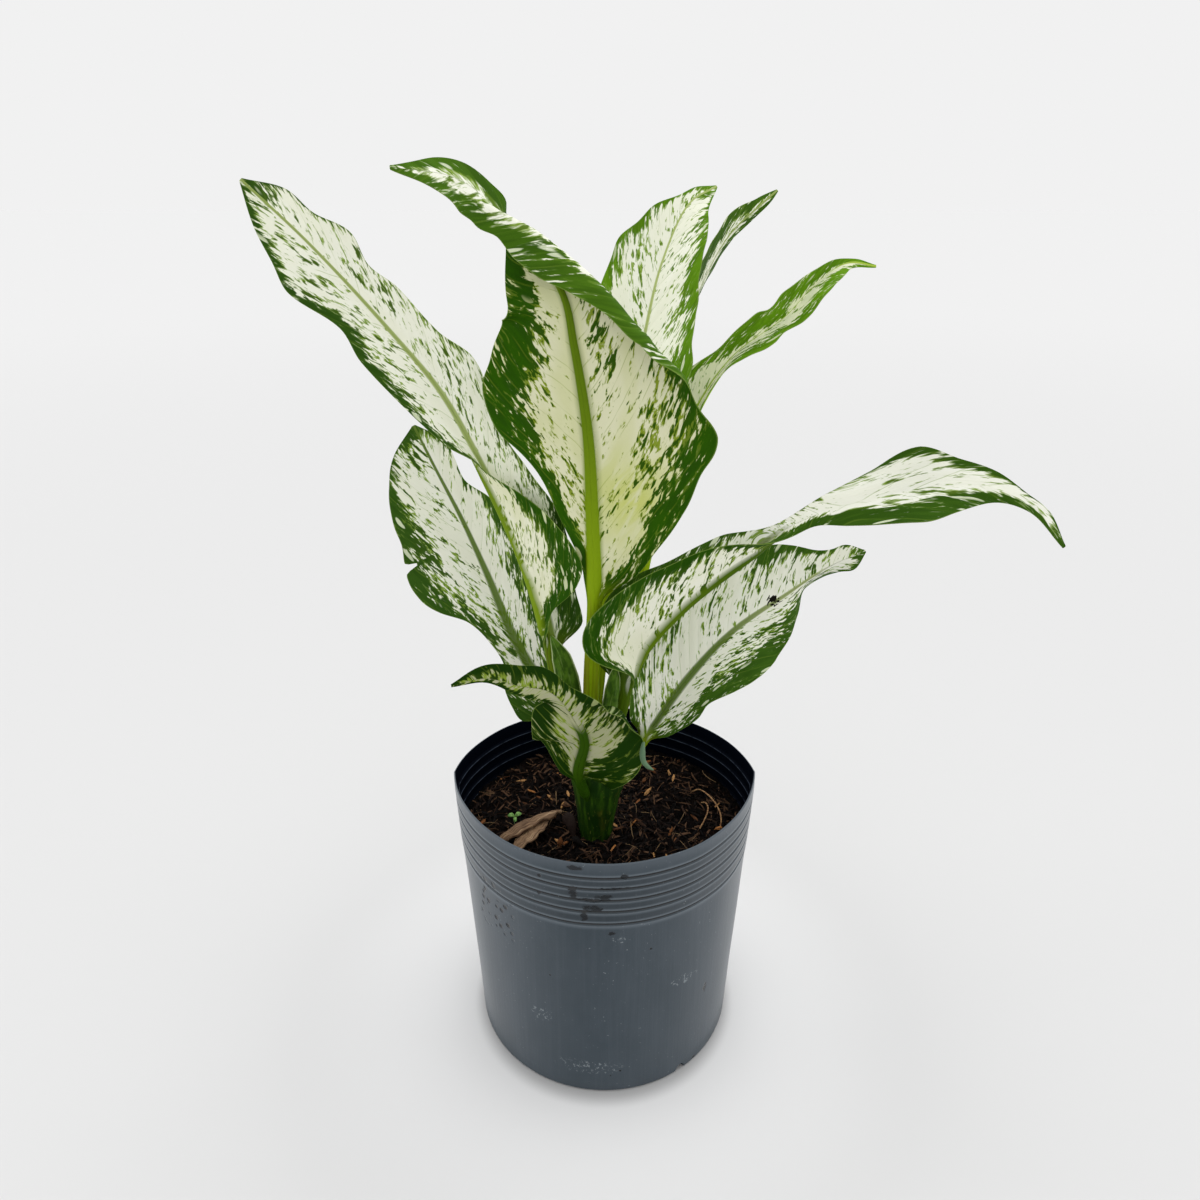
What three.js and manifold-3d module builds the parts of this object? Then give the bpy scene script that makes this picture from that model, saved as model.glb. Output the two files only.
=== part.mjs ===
// A young dieffenbachia in a soft plastic nursery pot: nine variegated leaves on one thick stalk.
// Millimetres, Z up, X to the right and Y away from the front. The origin is the middle of the
// pot's underside.
import * as THREE from 'three';
import { mergeVertices } from 'three/addons/utils/BufferGeometryUtils.js';
import Module from 'manifold-3d';

const wasm = await Module();
wasm.setup();

// Pot: its rim is two arcs that meet in a soft crease at each side, its base is round.
const POT_HEIGHT = 188;
const RIM_HALF_WIDTH = 99.5;
const RIM_HALF_DEPTH = 86;
const CREASE_RISE = 3;
const BASE_RADIUS = 88.5;
const WALL = 1.3;
const FLOOR = 2;
const BASE_EDGE = 1.6;
const LIP = 1.2;
const WALL_RING_SHARES = [1 / 3, 2 / 3];
const GROOVE_DROPS = [10.5, 18.5, 27, 35.5, 45];
const GROOVE_DEPTH = 0.9;
const GROOVE_HALF_WIDTH = 1.7;
const POT_SIDES = 32;
const DRAIN_RADIUS = 4;
const DRAIN_LENGTH = 14;
const DRAIN_SIDES = 10;
const DRAIN_ANGLES = [-55, 65, 185];

// Soil: a filled body with a lumpy top, of slow swells and small crumbs on them, each with the
// lengths of its waves. Shreds of bark are sunk half into it; their shape is [share of the length,
// share of the half width, half height].
const SOIL_LEVEL = 155;
const SWELL_HEIGHT = 1;
const SWELL_LENGTHS = [17, 14];
const SLANT_HEIGHT = 0.6;
const SLANT_LENGTH = 9;
const CRUMB_HEIGHT = 1.54;
const CRUMB_LENGTHS = [2.9, 5, 3.3, 7];
const SOIL_SIDE_GAP = 0.6;
const SOIL_RINGS = 10;
const SHRED_COUNT = 34;
const SHRED_LENGTHS = [7, 16];
const SHRED_HALF_WIDTHS = [0.9, 1.8];
const SHRED_REACHES = [0.2, 0.84];
const SHRED_SHAPE = [[0, 0.5, 0.5], [0.5, 1, 1], [1, 0.4, 0.4]];
const SHRED_FOOT = [-0.6, 0.4];
const SHRED_HEAD = [-0.6, 1.6];
const SHRED_SIDES = 4;
const SHRED_SEED = 7;

// Clearance between two pieces that touch in the real plant.
const CLEAR = 0.3;

// Chip of wood on the soil: its two ends, and [share of the length, half width, half height].
const CHIP_FROM = [-64, -31, 157];
const CHIP_TO = [-31, -9, 158.5];
const CHIP = [
  [0, 2, 1],
  [0.12, 5, 2],
  [0.4, 7.5, 2.4],
  [0.62, 6, 2],
  [0.85, 3.4, 1.6],
  [1, 1.4, 0.8],
];
const CHIP_SIDES = 6;
const CLEAR_SHARE = 0.01;
const BAR_TURN = 0.25;

// Stalk: centre line with a radius at each point, from its foot in the soil to the crown.
const STALK = [
  [-6, -17, 120, 9],
  [-6, -17, 156, 11],
  [-5, -17, 178, 13.5],
  [-4, -16, 204, 18.5],
  [-4, -15, 226, 20],
  [-4, -14, 244, 13],
];
const STALK_SIDES = 18;
const STALK_BURIED = 3;

// Leaves: a route in millimetres from the foot of the leaf's stem, inside the stalk, to its tip.
// blade is the share of the route where the blade starts, and stem the stem's radius at its foot.
// left and right hold rows of [share of the blade, half width, angle at the midrib, angle at the
// margin, where the bend between the two starts, where it ends, lean]. The two places are shares of
// the half width, and lean is how far the margin sits nearer the tip, as a share of the half width.
// What a row leaves out is 0, and 1 for the end of the bend. An angle of 0 lies flat to the front
// and 90 points forward. upper is 1 where the leaf's upper face looks forward and -1 where its
// underside does. wave is [height as a share of the half width, number of waves, phase].
const ROW_DEFAULTS = [0, 0, 0, 0, 0, 1, 0];
const LEAVES = {
  leaf_left_tall: {
    route: [[-20, -20, 226], [-26, -23, 262], [-35, -27, 319], [-45, -31, 358], [-62, -38, 404],
      [-80, -46, 447], [-101, -55, 479], [-130, -66, 517], [-152, -78, 543]],
    blade: 0.19,
    stem: 5,
    upper: 1,
    left: [[0, 6, 20, 60], [0.055, 8, 30, 90, 0, 0.4], [0.11, 12, 30, 130, 0, 0.3],
      [0.16, 30, 30, 150, 0, 0.16], [0.22, 38, 30, 154, 0, 0.16], [0.36, 17, 30, 148, 0, 0.2],
      [0.44, 7, 30, 90, 0, 0.4], [0.5, 13, 20, 30], [0.58, 18.5, 10], [0.7, 20], [0.76, 16.5],
      [0.85, 22], [0.9, 17], [0.95, 11], [1, 0.8]],
    right: [[0, 14, -20, -30, 0, 1, -0.5], [0.06, 22, -20, -30, 0, 1, -0.35],
      [0.12, 22, -15, -20, 0, 1, -0.1], [0.2, 25, -10, -10], [0.3, 26, 0, 10], [0.4, 21, 10, 25],
      [0.48, 19, 15, 35], [0.6, 25, 15, 35], [0.66, 18, 20, 30], [0.75, 16, 15, 20],
      [0.8, 13, 10, 20], [0.85, 17, 10, 20], [0.9, 11], [0.95, 10], [1, 0.8]],
    wave: [0.05, 3.5, 0.5],
  },
  leaf_centre: {
    route: [[-9, -26, 226], [-8, -32, 279], [-6, -40, 334], [-7, -46, 383], [-9, -52, 429],
      [-15, -62, 473], [-20, -72, 498], [-39, -88, 524], [-57, -104, 542], [-80, -123, 546.5]],
    blade: 0.28,
    stem: 5,
    upper: -1,
    fine: true,
    left: [[0, 5], [0.1, 7], [0.2, 16.5], [0.3, 27], [0.4, 43], [0.5, 47.5], [0.56, 44, 0, -10],
      [0.65, 28, 0, -15], [0.7, 21, 0, -15], [0.76, 8, -60, -80], [0.8, 9, -140, -150],
      [0.84, 9, -150, -160], [0.88, 9, -160, -165], [0.92, 7.5, -165, -170],
      [0.96, 4, -170, -175], [1, 0.8, -175, -175]],
    right: [[0, 5], [0.06, 20], [0.1, 29], [0.2, 48], [0.28, 56], [0.35, 65, 0, 20, 0.7],
      [0.4, 60, 0, 60, 0.7], [0.45, 57, 0, 110, 0.75], [0.5, 49, 0, 160, 0.68],
      [0.55, 43, 0, 170, 0.6], [0.6, 37, 0, 172, 0.48, 0.96], [0.65, 32, 5, 174, 0.28, 0.78],
      [0.7, 30, 5, 174, 0.14, 0.64], [0.76, 25, 5, 175, 0.07, 0.52], [0.8, 14.5, 30, 176, 0.05, 0.45],
      [0.84, 12, 120, 176, 0, 0.3], [0.88, 12, 172, 176], [0.92, 9, 174, 176],
      [0.96, 4, 176, 176], [1, 0.8, 176, 176]],
    wave: [0.04, 3, 0],
  },
  leaf_lower_left: {
    route: [[-18, -9, 214], [-37, -4, 255], [-55, 2, 288], [-71, 12, 327], [-85, 20, 358],
      [-101, 28, 389], [-113, 34, 413]],
    blade: 0.1,
    stem: 4.5,
    upper: 1,
    left: [[0, 5, 20], [0.06, 21, 20], [0.12, 23, 15], [0.19, 21, 10], [0.25, 14, 10], [0.32, 15, 5],
      [0.4, 22], [0.46, 36], [0.52, 44], [0.6, 46], [0.7, 40, 0, -5], [0.8, 37, 0, -10],
      [0.88, 30, 0, -10], [0.95, 18], [1, 1]],
    right: [[0, 5, 20, 30], [0.1, 18, 30, 40], [0.3, 25, 30, 45], [0.6, 29, 30, 40], [0.7, 25, 20, 30],
      [0.79, 13, 15, 20], [0.87, 13, 10], [0.9, 13], [0.95, 9], [1, 1]],
    wave: [0.05, 3, 1],
  },
  leaf_upper_middle: {
    route: [[-7, -4, 228], [4, 6, 339], [13, 20, 414], [23, 36, 467], [32, 48, 502],
      [47, 60, 532], [63, 70, 541]],
    blade: 0.4,
    stem: 4,
    upper: 1,
    left: [[0, 5], [0.12, 24], [0.5, 36, -10, -10], [0.62, 31, -5, -10], [0.7, 29, 0, -10],
      [0.75, 27.5], [0.8, 20.5], [0.85, 16], [0.9, 7.5], [0.95, 5], [1, 0.8]],
    right: [[0, 5, 40, 40], [0.12, 20, 40, 40], [0.45, 39, 30, 55], [0.55, 34, 25, 55],
      [0.65, 29, 25, 50], [0.75, 26.5, 25, 45], [0.85, 18.5, 20, 30], [0.92, 11, 10, 10], [1, 0.8]],
    wave: [0.05, 4, 0.5],
  },
  leaf_behind_right: {
    route: [[4, -1, 230], [21, 20, 359], [39, 50, 448], [57, 70, 489], [73, 82, 515], [103, 100, 539]],
    blade: 0.5,
    stem: 4,
    upper: 1,
    left: [[0, 5, 80, 80], [0.2, 18, 80, 82], [0.5, 22, 80, 84], [0.7, 15, 74, 76],
      [0.8, 11, 55, 55], [0.9, 5, 40, 30], [0.96, 3], [1, 0.8]],
    right: [[0, 5, -84, -86], [0.2, 18, -84, -86], [0.5, 20, -84, -88], [0.7, 12, -82, -86],
      [0.8, 8, -70, -75], [0.9, 4, -40, -40], [0.96, 2.5], [1, 0.8]],
    wave: [0.05, 3, 0],
  },
  leaf_upper_right: {
    route: [[9, -10, 228], [27, 10, 350], [52, 26, 422], [73, 36, 452], [103, 46, 473],
      [120, 52, 490], [138, 58, 501], [157, 64, 499]],
    blade: 0.45,
    stem: 4,
    upper: 1,
    left: [[0, 5], [0.2, 22, 0, 30, 0.5], [0.33, 18, 10, 60, 0.4], [0.42, 14, 30, 75, 0.2],
      [0.55, 18, 50, 70], [0.6, 14, 50, 70], [0.68, 16, 50, 65], [0.77, 11, 50, 60],
      [0.85, 6, 40, 50], [0.9, 2.5, 30, 30], [0.95, 2], [1, 0.8]],
    right: [[0, 5, 85, 85], [0.2, 20, 85, 90], [0.4, 20, 75, 80], [0.47, 18, 65, 65],
      [0.55, 18, 55, 60], [0.6, 14.5, 55, 60], [0.66, 16, 40, 55], [0.76, 17, 50, 60],
      [0.81, 14, 50, 60], [0.86, 8, 30, 40], [0.91, 3.5], [1, 0.8]],
    wave: [0.05, 3, 0],
  },
  leaf_right_long: {
    route: [[5, -25, 222], [8, -28, 252], [18, -34, 296], [41, -44, 332], [72, -56, 365],
      [96, -66, 388], [130, -80, 406], [166, -96, 417], [190, -106, 411], [206, -112, 393]],
    blade: 0.14,
    stem: 5,
    upper: 1,
    left: [[0, 5, -15, -20], [0.05, 22, -15, -20, 0, 1, -0.2], [0.15, 33, -15, -20],
      [0.22, 30, -15, -20], [0.28, 24, -15, -20], [0.4, 17, -15, -20], [0.5, 5], [0.6, 8.5],
      [0.67, 13], [0.75, 19.5, 5, 15], [0.8, 12], [0.85, 8], [0.9, 3.5], [0.95, 3.5], [1, 0.8]],
    right: [[0, 6, 20, 60, 0, 1, 0.2], [0.055, 17, 30, 100, 0, 0.35, 0.55],
      [0.11, 41, 30, 146, 0, 0.16, 0.02], [0.2, 39, 30, 155, 0, 0.13, 0.04],
      [0.3, 27, 30, 158, 0, 0.16, 0.03], [0.42, 15, 30, 150, 0, 0.22],
      [0.5, 8, 30, 80, 0, 0.4], [0.56, 5, 20, 20], [0.62, 10.5, 10, 30], [0.68, 16, 10, 50],
      [0.75, 20, 10, 55], [0.8, 14.5, 5, 40], [0.86, 6], [0.92, 3], [1, 0.8]],
    wave: [0.05, 3, 0],
  },
  leaf_lower_right: {
    route: [[8, -12, 196], [29, -8, 230], [53, 0, 263], [80, 8, 291], [112, 14, 313],
      [138, 18, 330], [159, 20, 339]],
    blade: 0.14,
    stem: 4.5,
    upper: 1,
    left: [[0, 5, 30, 20], [0.06, 21, 48, 38], [0.12, 28, 42, 24], [0.3, 36, 8], [0.5, 40],
      [0.7, 31], [0.76, 30], [0.81, 23], [0.86, 13], [0.9, 9], [0.95, 8], [1, 0.8]],
    right: [[0, 5, 20, 20], [0.1, 15, 20, 10], [0.18, 20.5, 20, 10], [0.25, 20.5, 20, 15],
      [0.35, 28, 20, 20], [0.45, 32, 15, 20], [0.55, 30], [0.65, 24, -10, -10],
      [0.7, 20, -30, -40], [0.77, 16, -70, -75], [0.85, 12, -65, -65], [0.9, 9, -40, -50],
      [0.95, 8, -10, -10], [1, 0.8]],
    wave: [0.04, 4, 0],
  },
  leaf_front_small: {
    route: [[-11, -30, 191], [-16, -43, 221], [-12, -51, 248], [-17, -58, 267], [-30, -67, 291],
      [-46, -74, 299], [-63, -80, 307], [-80, -86, 306]],
    blade: 0.14,
    stem: 3.5,
    upper: -1,
    fine: true,
    left: [[0, 5], [0.06, 10], [0.12, 16], [0.22, 27, 0, 0, 0, 1, 0.1], [0.3, 28, 0, 0, 0, 1, 0.35],
      [0.38, 14, -10, -20, 0, 1, 1.8], [0.45, 9, -20, -30, 0, 1, 1.6], [0.5, 7.5, -10, -20, 0, 1, 1.2],
      [0.58, 7, 0, 0, 0, 1, 0.5], [0.66, 7], [0.83, 3], [1, 0.8]],
    right: [[0, 5], [0.06, 18, 0, 20, 0.3, 1, -0.6], [0.12, 27, 0, 25, 0.3, 1, -0.25],
      [0.2, 34, 0, 30, 0.3], [0.28, 35, 0, 40, 0.4], [0.38, 34, 0, 130, 0.6], [0.47, 19, 0, 60, 0.3],
      [0.56, 9], [0.68, 12], [0.85, 8], [1, 0.8]],
    wave: [0.05, 3, 0],
  },
};
const FRONT = new THREE.Vector3(0, -0.909, 0.417);
const ACROSS = [-1, -0.72, -0.4, -0.1, 0, 0.1, 0.4, 0.72, 1];
const ACROSS_FINE = [-1, -0.84, -0.68, -0.52, -0.34, -0.1, 0, 0.1, 0.34, 0.52, 0.68, 0.84, 1];
const BLADE_STEPS = 18;
const STEM_STEPS = 4;
const BLADE_ROOT = 0.07;
const BLADE_THICKNESS = 1;
const EDGE_THICKNESS = 0.7;
const RIB_TIP = 0.7;
const STEM_ROUND = 82;

// Colour and roughness of each piece's surface.
const POT_FINISH = [0x39424e, 0.42];
const SOIL_FINISH = [0x2c211b, 0.95];
const CHIP_FINISH = [0x8b6b4d, 0.85];
const STALK_FINISH = [0x44602a, 0.5];
const LEAF_UPPER_FINISH = [0xb5c096, 0.45];
const LEAF_UNDER_FINISH = [0xa9b37e, 0.45];

const WELD = 1e-5;
const LEAST_TURN = 1e-4;
const RANDOM_FACTOR = 16807;
const RANDOM_RANGE = 2147483647;

const mix = (a, b, t) => a + (b - a) * t;
const mixMany = (a, b, t) => a.map((value, i) => mix(value, b[i], t));
const ease = (t) => t * t * (3 - 2 * t);
const clamp01 = (t) => Math.min(1, Math.max(0, t));
const radians = THREE.MathUtils.degToRad;

// The values at a share of the blade, on smooth curves through rows that start with their share.
function rowAt(rows, share) {
  const row = (i) => {
    const given = rows[Math.min(rows.length - 1, Math.max(0, i))];
    return [...given, ...ROW_DEFAULTS.slice(given.length)];
  };
  const found = rows.findIndex((each) => each[0] > share);
  const next = found < 0 ? rows.length - 1 : Math.max(1, found);
  const [before, from, to, after] = [row(next - 2), row(next - 1), row(next), row(next + 1)];
  const span = to[0] - from[0];
  const t = clamp01((share - from[0]) / span);
  return from.map((value, i) => {
    const slopeIn = ((to[i] - before[i]) / (to[0] - before[0])) * span;
    const slopeOut = ((after[i] - value) / (after[0] - from[0])) * span;
    const bend = t * (1 - t) * ((1 - t) * slopeIn - t * slopeOut);
    return mix(value, to[i], ease(t)) + bend;
  });
}

// Where a half blade of width 1 has got to at share v of it: how far along and how far forward.
// It leaves at one angle and bends evenly to the other between the shares from and to.
function bent(startAngle, endAngle, from, to, v) {
  const a = radians(startAngle);
  const b = radians(endAngle);
  const straight = Math.min(v, from);
  const arc = Math.min(Math.max(v - from, 0), to - from);
  const after = Math.max(v - to, 0);
  const turn = (b - a) / (to - from);
  const now = a + turn * arc;
  const flat = Math.abs(turn) < LEAST_TURN;
  const alongArc = flat ? arc * Math.cos(a) : (Math.sin(now) - Math.sin(a)) / turn;
  const forwardArc = flat ? arc * Math.sin(a) : (Math.cos(a) - Math.cos(now)) / turn;
  return [
    straight * Math.cos(a) + alongArc + after * Math.cos(b),
    straight * Math.sin(a) + forwardArc + after * Math.sin(b),
  ];
}

// One station of a leaf: for each place across it, the middle of the sheet as an offset [side,
// front, ahead] and the sheet's thickness before and behind that middle, with a clearance added.
function leafStation(leaf, share, grow) {
  const t = clamp01((share - leaf.blade) / (1 - leaf.blade));
  const stem = mix(leaf.stem, RIB_TIP, ease(share));
  const bladeness = ease(clamp01(t / BLADE_ROOT));
  const [size, count, phase] = leaf.wave;
  return (leaf.fine ? ACROSS_FINE : ACROSS).map((across) => {
    const side = Math.sign(across);
    const v = Math.abs(across);
    const row = rowAt(side < 0 ? leaf.left : leaf.right, t);
    const [, half, atRib, atMargin, bendFrom, bendTo, lean] = row;
    const [along, forward] = bent(atRib, atMargin, bendFrom, bendTo, v);
    const ripple = size * half * v * v * Math.sin(2 * Math.PI * count * t + phase + side);
    const skin = mix(BLADE_THICKNESS, EDGE_THICKNESS, v) / 2;
    const rib = v === 0 ? stem : 0;
    const round = radians(across * STEM_ROUND);
    const [stemSide, stemDepth] = [(stem + grow) * Math.sin(round), (stem + grow) * Math.cos(round)];
    const onBlade = [side * half * along, half * forward, half * v * lean];
    return {
      middle: mixMany([stemSide, 0, 0], onBlade, bladeness),
      ripple: ripple * bladeness,
      before: mix(stemDepth, skin + grow + (leaf.upper < 0 ? rib : 0), bladeness),
      behind: mix(stemDepth, skin + grow + (leaf.upper > 0 ? rib : 0), bladeness),
    };
  });
}

// A closed body through rows of points: each station has a front row and a back row.
function loftRows(stations) {
  const columns = stations[0][0].length;
  const positions = [];
  for (const [front, back] of stations) {
    for (const point of [...front, ...back]) positions.push(...point);
  }
  const at = (station, face, column) => (station * 2 + face) * columns + column;
  const faces = [];
  const quad = (a, b, c, d) => faces.push(a, b, c, a, c, d);
  const last = stations.length - 1;
  for (let i = 0; i < last; i += 1) {
    for (let j = 0; j < columns - 1; j += 1) {
      quad(at(i, 0, j), at(i, 0, j + 1), at(i + 1, 0, j + 1), at(i + 1, 0, j));
      faces.push(at(i, 1, j), at(i + 1, 1, j + 1), at(i, 1, j + 1));
      faces.push(at(i, 1, j), at(i + 1, 1, j), at(i + 1, 1, j + 1));
    }
    const end = columns - 1;
    quad(at(i, 1, 0), at(i, 0, 0), at(i + 1, 0, 0), at(i + 1, 1, 0));
    quad(at(i, 0, end), at(i, 1, end), at(i + 1, 1, end), at(i + 1, 0, end));
  }
  for (let j = 0; j < columns - 1; j += 1) {
    quad(at(0, 1, j), at(0, 1, j + 1), at(0, 0, j + 1), at(0, 0, j));
    quad(at(last, 0, j), at(last, 0, j + 1), at(last, 1, j + 1), at(last, 1, j));
  }
  const geometry = new THREE.BufferGeometry();
  geometry.setAttribute('position', new THREE.Float32BufferAttribute(positions, 3));
  geometry.setIndex(faces);
  return geometry;
}

// A leaf, or its part up to a share of the route, grown all round by a clearance.
function leafGeometry(leaf, to = 1, grow = 0) {
  const points = leaf.route.map((point) => new THREE.Vector3(...point));
  const curve = new THREE.CatmullRomCurve3(points, false, 'centripetal');
  const shares = [];
  for (let i = 0; i < STEM_STEPS; i += 1) shares.push((leaf.blade * i) / STEM_STEPS);
  for (let i = 0; i <= BLADE_STEPS; i += 1) shares.push(mix(leaf.blade, 1, i / BLADE_STEPS));
  const stations = shares.map((share) => leafStation(leaf, share, grow));
  const aheads = shares.map((share) => curve.getTangentAt(share));
  const middles = shares.map((share, i) => {
    const ahead = aheads[i];
    const sideways = new THREE.Vector3().crossVectors(ahead, FRONT).normalize();
    const forward = new THREE.Vector3().crossVectors(sideways, ahead);
    const start = curve.getPointAt(share);
    return stations[i].map(({ middle }) => start.clone().addScaledVector(sideways, middle[0])
      .addScaledVector(forward, middle[1]).addScaledVector(ahead, middle[2]));
  });
  const between = (low, high) => new THREE.Vector3().subVectors(high, low);
  const rows = stations.map((station, i) => {
    const faces = [[], []];
    station.forEach(({ ripple, before, behind }, j) => {
      const here = middles[i];
      const across = between(here[Math.max(0, j - 1)], here[Math.min(here.length - 1, j + 1)]);
      const last = Math.min(middles.length - 1, i + 1);
      const along = between(middles[Math.max(0, i - 1)][j], middles[last][j]);
      const normal = new THREE.Vector3().crossVectors(across, along).normalize();
      const foot = here[j].clone().addScaledVector(aheads[i], i === 0 ? -grow : 0);
      faces[0].push(foot.clone().addScaledVector(normal, ripple + before).toArray());
      faces[1].push(foot.addScaledVector(normal, ripple - behind).toArray());
    });
    return faces;
  });
  return loftRows(rows.filter((_, i) => shares[i] <= to));
}

// Closed body from rings of points that are joined in order; each end is a flat fan.
function loftRings(rings) {
  const sides = rings[0].length;
  const positions = [];
  for (const ring of rings) {
    for (const point of ring) positions.push(...point);
  }
  const middle = (ring) => [0, 1, 2].map((k) => ring.reduce((sum, p) => sum + p[k], 0) / sides);
  positions.push(...middle(rings[0]), ...middle(rings[rings.length - 1]));
  const faces = [];
  const lastRing = (rings.length - 1) * sides;
  const lowMiddle = rings.length * sides;
  for (let j = 0; j < sides; j += 1) {
    const k = (j + 1) % sides;
    for (let i = 0; i < lastRing; i += sides) {
      faces.push(i + j, i + k, i + sides + k, i + j, i + sides + k, i + sides + j);
    }
    faces.push(lowMiddle, k, j, lowMiddle + 1, lastRing + j, lastRing + k);
  }
  const geometry = new THREE.BufferGeometry();
  geometry.setAttribute('position', new THREE.Float32BufferAttribute(positions, 3));
  geometry.setIndex(faces);
  return geometry;
}

// Distance of the pot's outer face from its axis, at an angle and a share of its height.
function potRadius(angle, share) {
  const { sin, cos, abs, sqrt, hypot } = Math;
  const arc = hypot(RIM_HALF_WIDTH, RIM_HALF_DEPTH) ** 2 / (2 * RIM_HALF_DEPTH);
  const shift = arc - RIM_HALF_DEPTH;
  const rim = sqrt(arc ** 2 - (shift * cos(angle)) ** 2) - shift * abs(sin(angle));
  return mix(BASE_RADIUS, rim, share);
}

// A ring round the pot's axis at a height, set in from the outer face.
function potRing(height, inset, scale = 1) {
  const ring = [];
  for (let i = 0; i < POT_SIDES; i += 1) {
    const angle = (2 * Math.PI * i) / POT_SIDES;
    const share = height / POT_HEIGHT;
    const radius = (potRadius(angle, share) - inset) * scale;
    const rise = CREASE_RISE * Math.cos(angle) ** 4 * share ** 3;
    ring.push([radius * Math.cos(angle), radius * Math.sin(angle), height + rise]);
  }
  return ring;
}

function potGeometry() {
  const outer = [];
  const inner = [];
  for (const drop of GROOVE_DROPS.toReversed()) {
    for (const step of [-1, 0, 1]) {
      const height = POT_HEIGHT - drop + step * GROOVE_HALF_WIDTH;
      const inset = step === 0 ? GROOVE_DEPTH : 0;
      outer.push(potRing(height, inset));
      inner.unshift(potRing(height, inset + WALL));
    }
  }
  return loftRings([
    potRing(0, BASE_EDGE),
    potRing(BASE_EDGE, 0),
    ...WALL_RING_SHARES.map((share) => potRing(POT_HEIGHT * share, 0)),
    ...outer,
    potRing(POT_HEIGHT - LIP, 0),
    potRing(POT_HEIGHT, WALL / 2),
    potRing(POT_HEIGHT - LIP, WALL),
    ...inner,
    ...WALL_RING_SHARES.toReversed().map((share) => potRing(POT_HEIGHT * share, WALL)),
    potRing(FLOOR + BASE_EDGE, WALL),
    potRing(FLOOR, WALL + BASE_EDGE),
  ]);
}

// Height of the soil at a place.
function soilHeight(x, y) {
  const { sin, cos } = Math;
  const [swellX, swellY] = SWELL_LENGTHS;
  const [a, b, c, d] = CRUMB_LENGTHS;
  const swell = SWELL_HEIGHT * sin(x / swellX + 1) * cos(y / swellY);
  const slant = SLANT_HEIGHT * sin((x + y) / SLANT_LENGTH);
  const crumbs = CRUMB_HEIGHT * sin(x / a + y / b) * sin(y / c - x / d);
  return SOIL_LEVEL + swell + slant + crumbs;
}

function soilGeometry() {
  const low = FLOOR + CLEAR;
  const grooves = POT_HEIGHT - Math.max(...GROOVE_DROPS) - 3 * GROOVE_HALF_WIDTH;
  const rings = [
    potRing(low, WALL + BASE_EDGE + SOIL_SIDE_GAP),
    potRing(low + BASE_EDGE, WALL + SOIL_SIDE_GAP),
    ...WALL_RING_SHARES.map((share) => potRing(POT_HEIGHT * share, WALL + SOIL_SIDE_GAP)),
    potRing(grooves, WALL + SOIL_SIDE_GAP),
    potRing(grooves + GROOVE_HALF_WIDTH, WALL + GROOVE_DEPTH + SOIL_SIDE_GAP),
  ];
  for (let i = SOIL_RINGS; i > 0; i -= 1) {
    const ring = potRing(SOIL_LEVEL, WALL + GROOVE_DEPTH + SOIL_SIDE_GAP, i / SOIL_RINGS);
    rings.push(ring.map(([x, y]) => [x, y, soilHeight(x, y)]));
  }
  return loftRings(rings);
}

// A tapered bar between two points, through rows of [share of the length, half width, half height].
function barGeometry(from, to, rows, sides) {
  const start = new THREE.Vector3(...from);
  const ahead = new THREE.Vector3(...to).sub(start);
  const sideways = new THREE.Vector3(-ahead.y, ahead.x, 0).normalize();
  const up = new THREE.Vector3().crossVectors(ahead, sideways).normalize();
  const rings = rows.map(([share, halfWidth, halfHeight], row) => {
    const ring = [];
    for (let i = 0; i < sides; i += 1) {
      const angle = (2 * Math.PI * i) / sides + row * BAR_TURN;
      const point = start.clone().addScaledVector(ahead, share)
        .addScaledVector(sideways, halfWidth * Math.cos(angle))
        .addScaledVector(up, halfHeight * Math.sin(angle));
      ring.push(point.toArray());
    }
    return ring;
  });
  return loftRings(rings);
}

function shredGeometries() {
  const shreds = [];
  let seed = SHRED_SEED;
  const draw = ([low, high]) => {
    seed = (seed * RANDOM_FACTOR) % RANDOM_RANGE;
    return mix(low, high, seed / RANDOM_RANGE);
  };
  const fullCircle = [0, 2 * Math.PI];
  for (let i = 0; i < SHRED_COUNT; i += 1) {
    const angle = draw(fullCircle);
    const reach = potRadius(angle, SOIL_LEVEL / POT_HEIGHT) * draw(SHRED_REACHES);
    const turn = draw(fullCircle);
    const half = draw(SHRED_LENGTHS) / 2;
    const wide = draw(SHRED_HALF_WIDTHS);
    const [x, y] = [reach * Math.cos(angle), reach * Math.sin(angle)];
    const end = (way, lift) => {
      const [ex, ey] = [x + way * half * Math.cos(turn), y + way * half * Math.sin(turn)];
      return [ex, ey, soilHeight(ex, ey) + lift];
    };
    const rows = SHRED_SHAPE.map(([share, width, height]) => [share, wide * width, height]);
    shreds.push(barGeometry(end(-1, draw(SHRED_FOOT)), end(1, draw(SHRED_HEAD)), rows, SHRED_SIDES));
  }
  return shreds;
}

function circleRing([x, y, z, radius], sides) {
  const ring = [];
  for (let i = 0; i < sides; i += 1) {
    const angle = (2 * Math.PI * i) / sides;
    ring.push([x + radius * Math.cos(angle), y + radius * Math.sin(angle), z]);
  }
  return ring;
}

// A geometry as a solid body that can be joined and cut, and such a body as a geometry again.
function solid(geometry) {
  const bare = geometry.clone();
  bare.deleteAttribute('normal');
  bare.deleteAttribute('uv');
  const merged = mergeVertices(bare, WELD);
  return new wasm.Manifold(new wasm.Mesh({
    numProp: 3,
    vertProperties: new Float32Array(merged.attributes.position.array),
    triVerts: new Uint32Array(merged.index.array),
  }));
}

function fromSolid(body) {
  const mesh = body.getMesh();
  const geometry = new THREE.BufferGeometry();
  geometry.setAttribute('position', new THREE.Float32BufferAttribute(mesh.vertProperties, 3));
  geometry.setIndex(Array.from(mesh.triVerts));
  return geometry;
}

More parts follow.
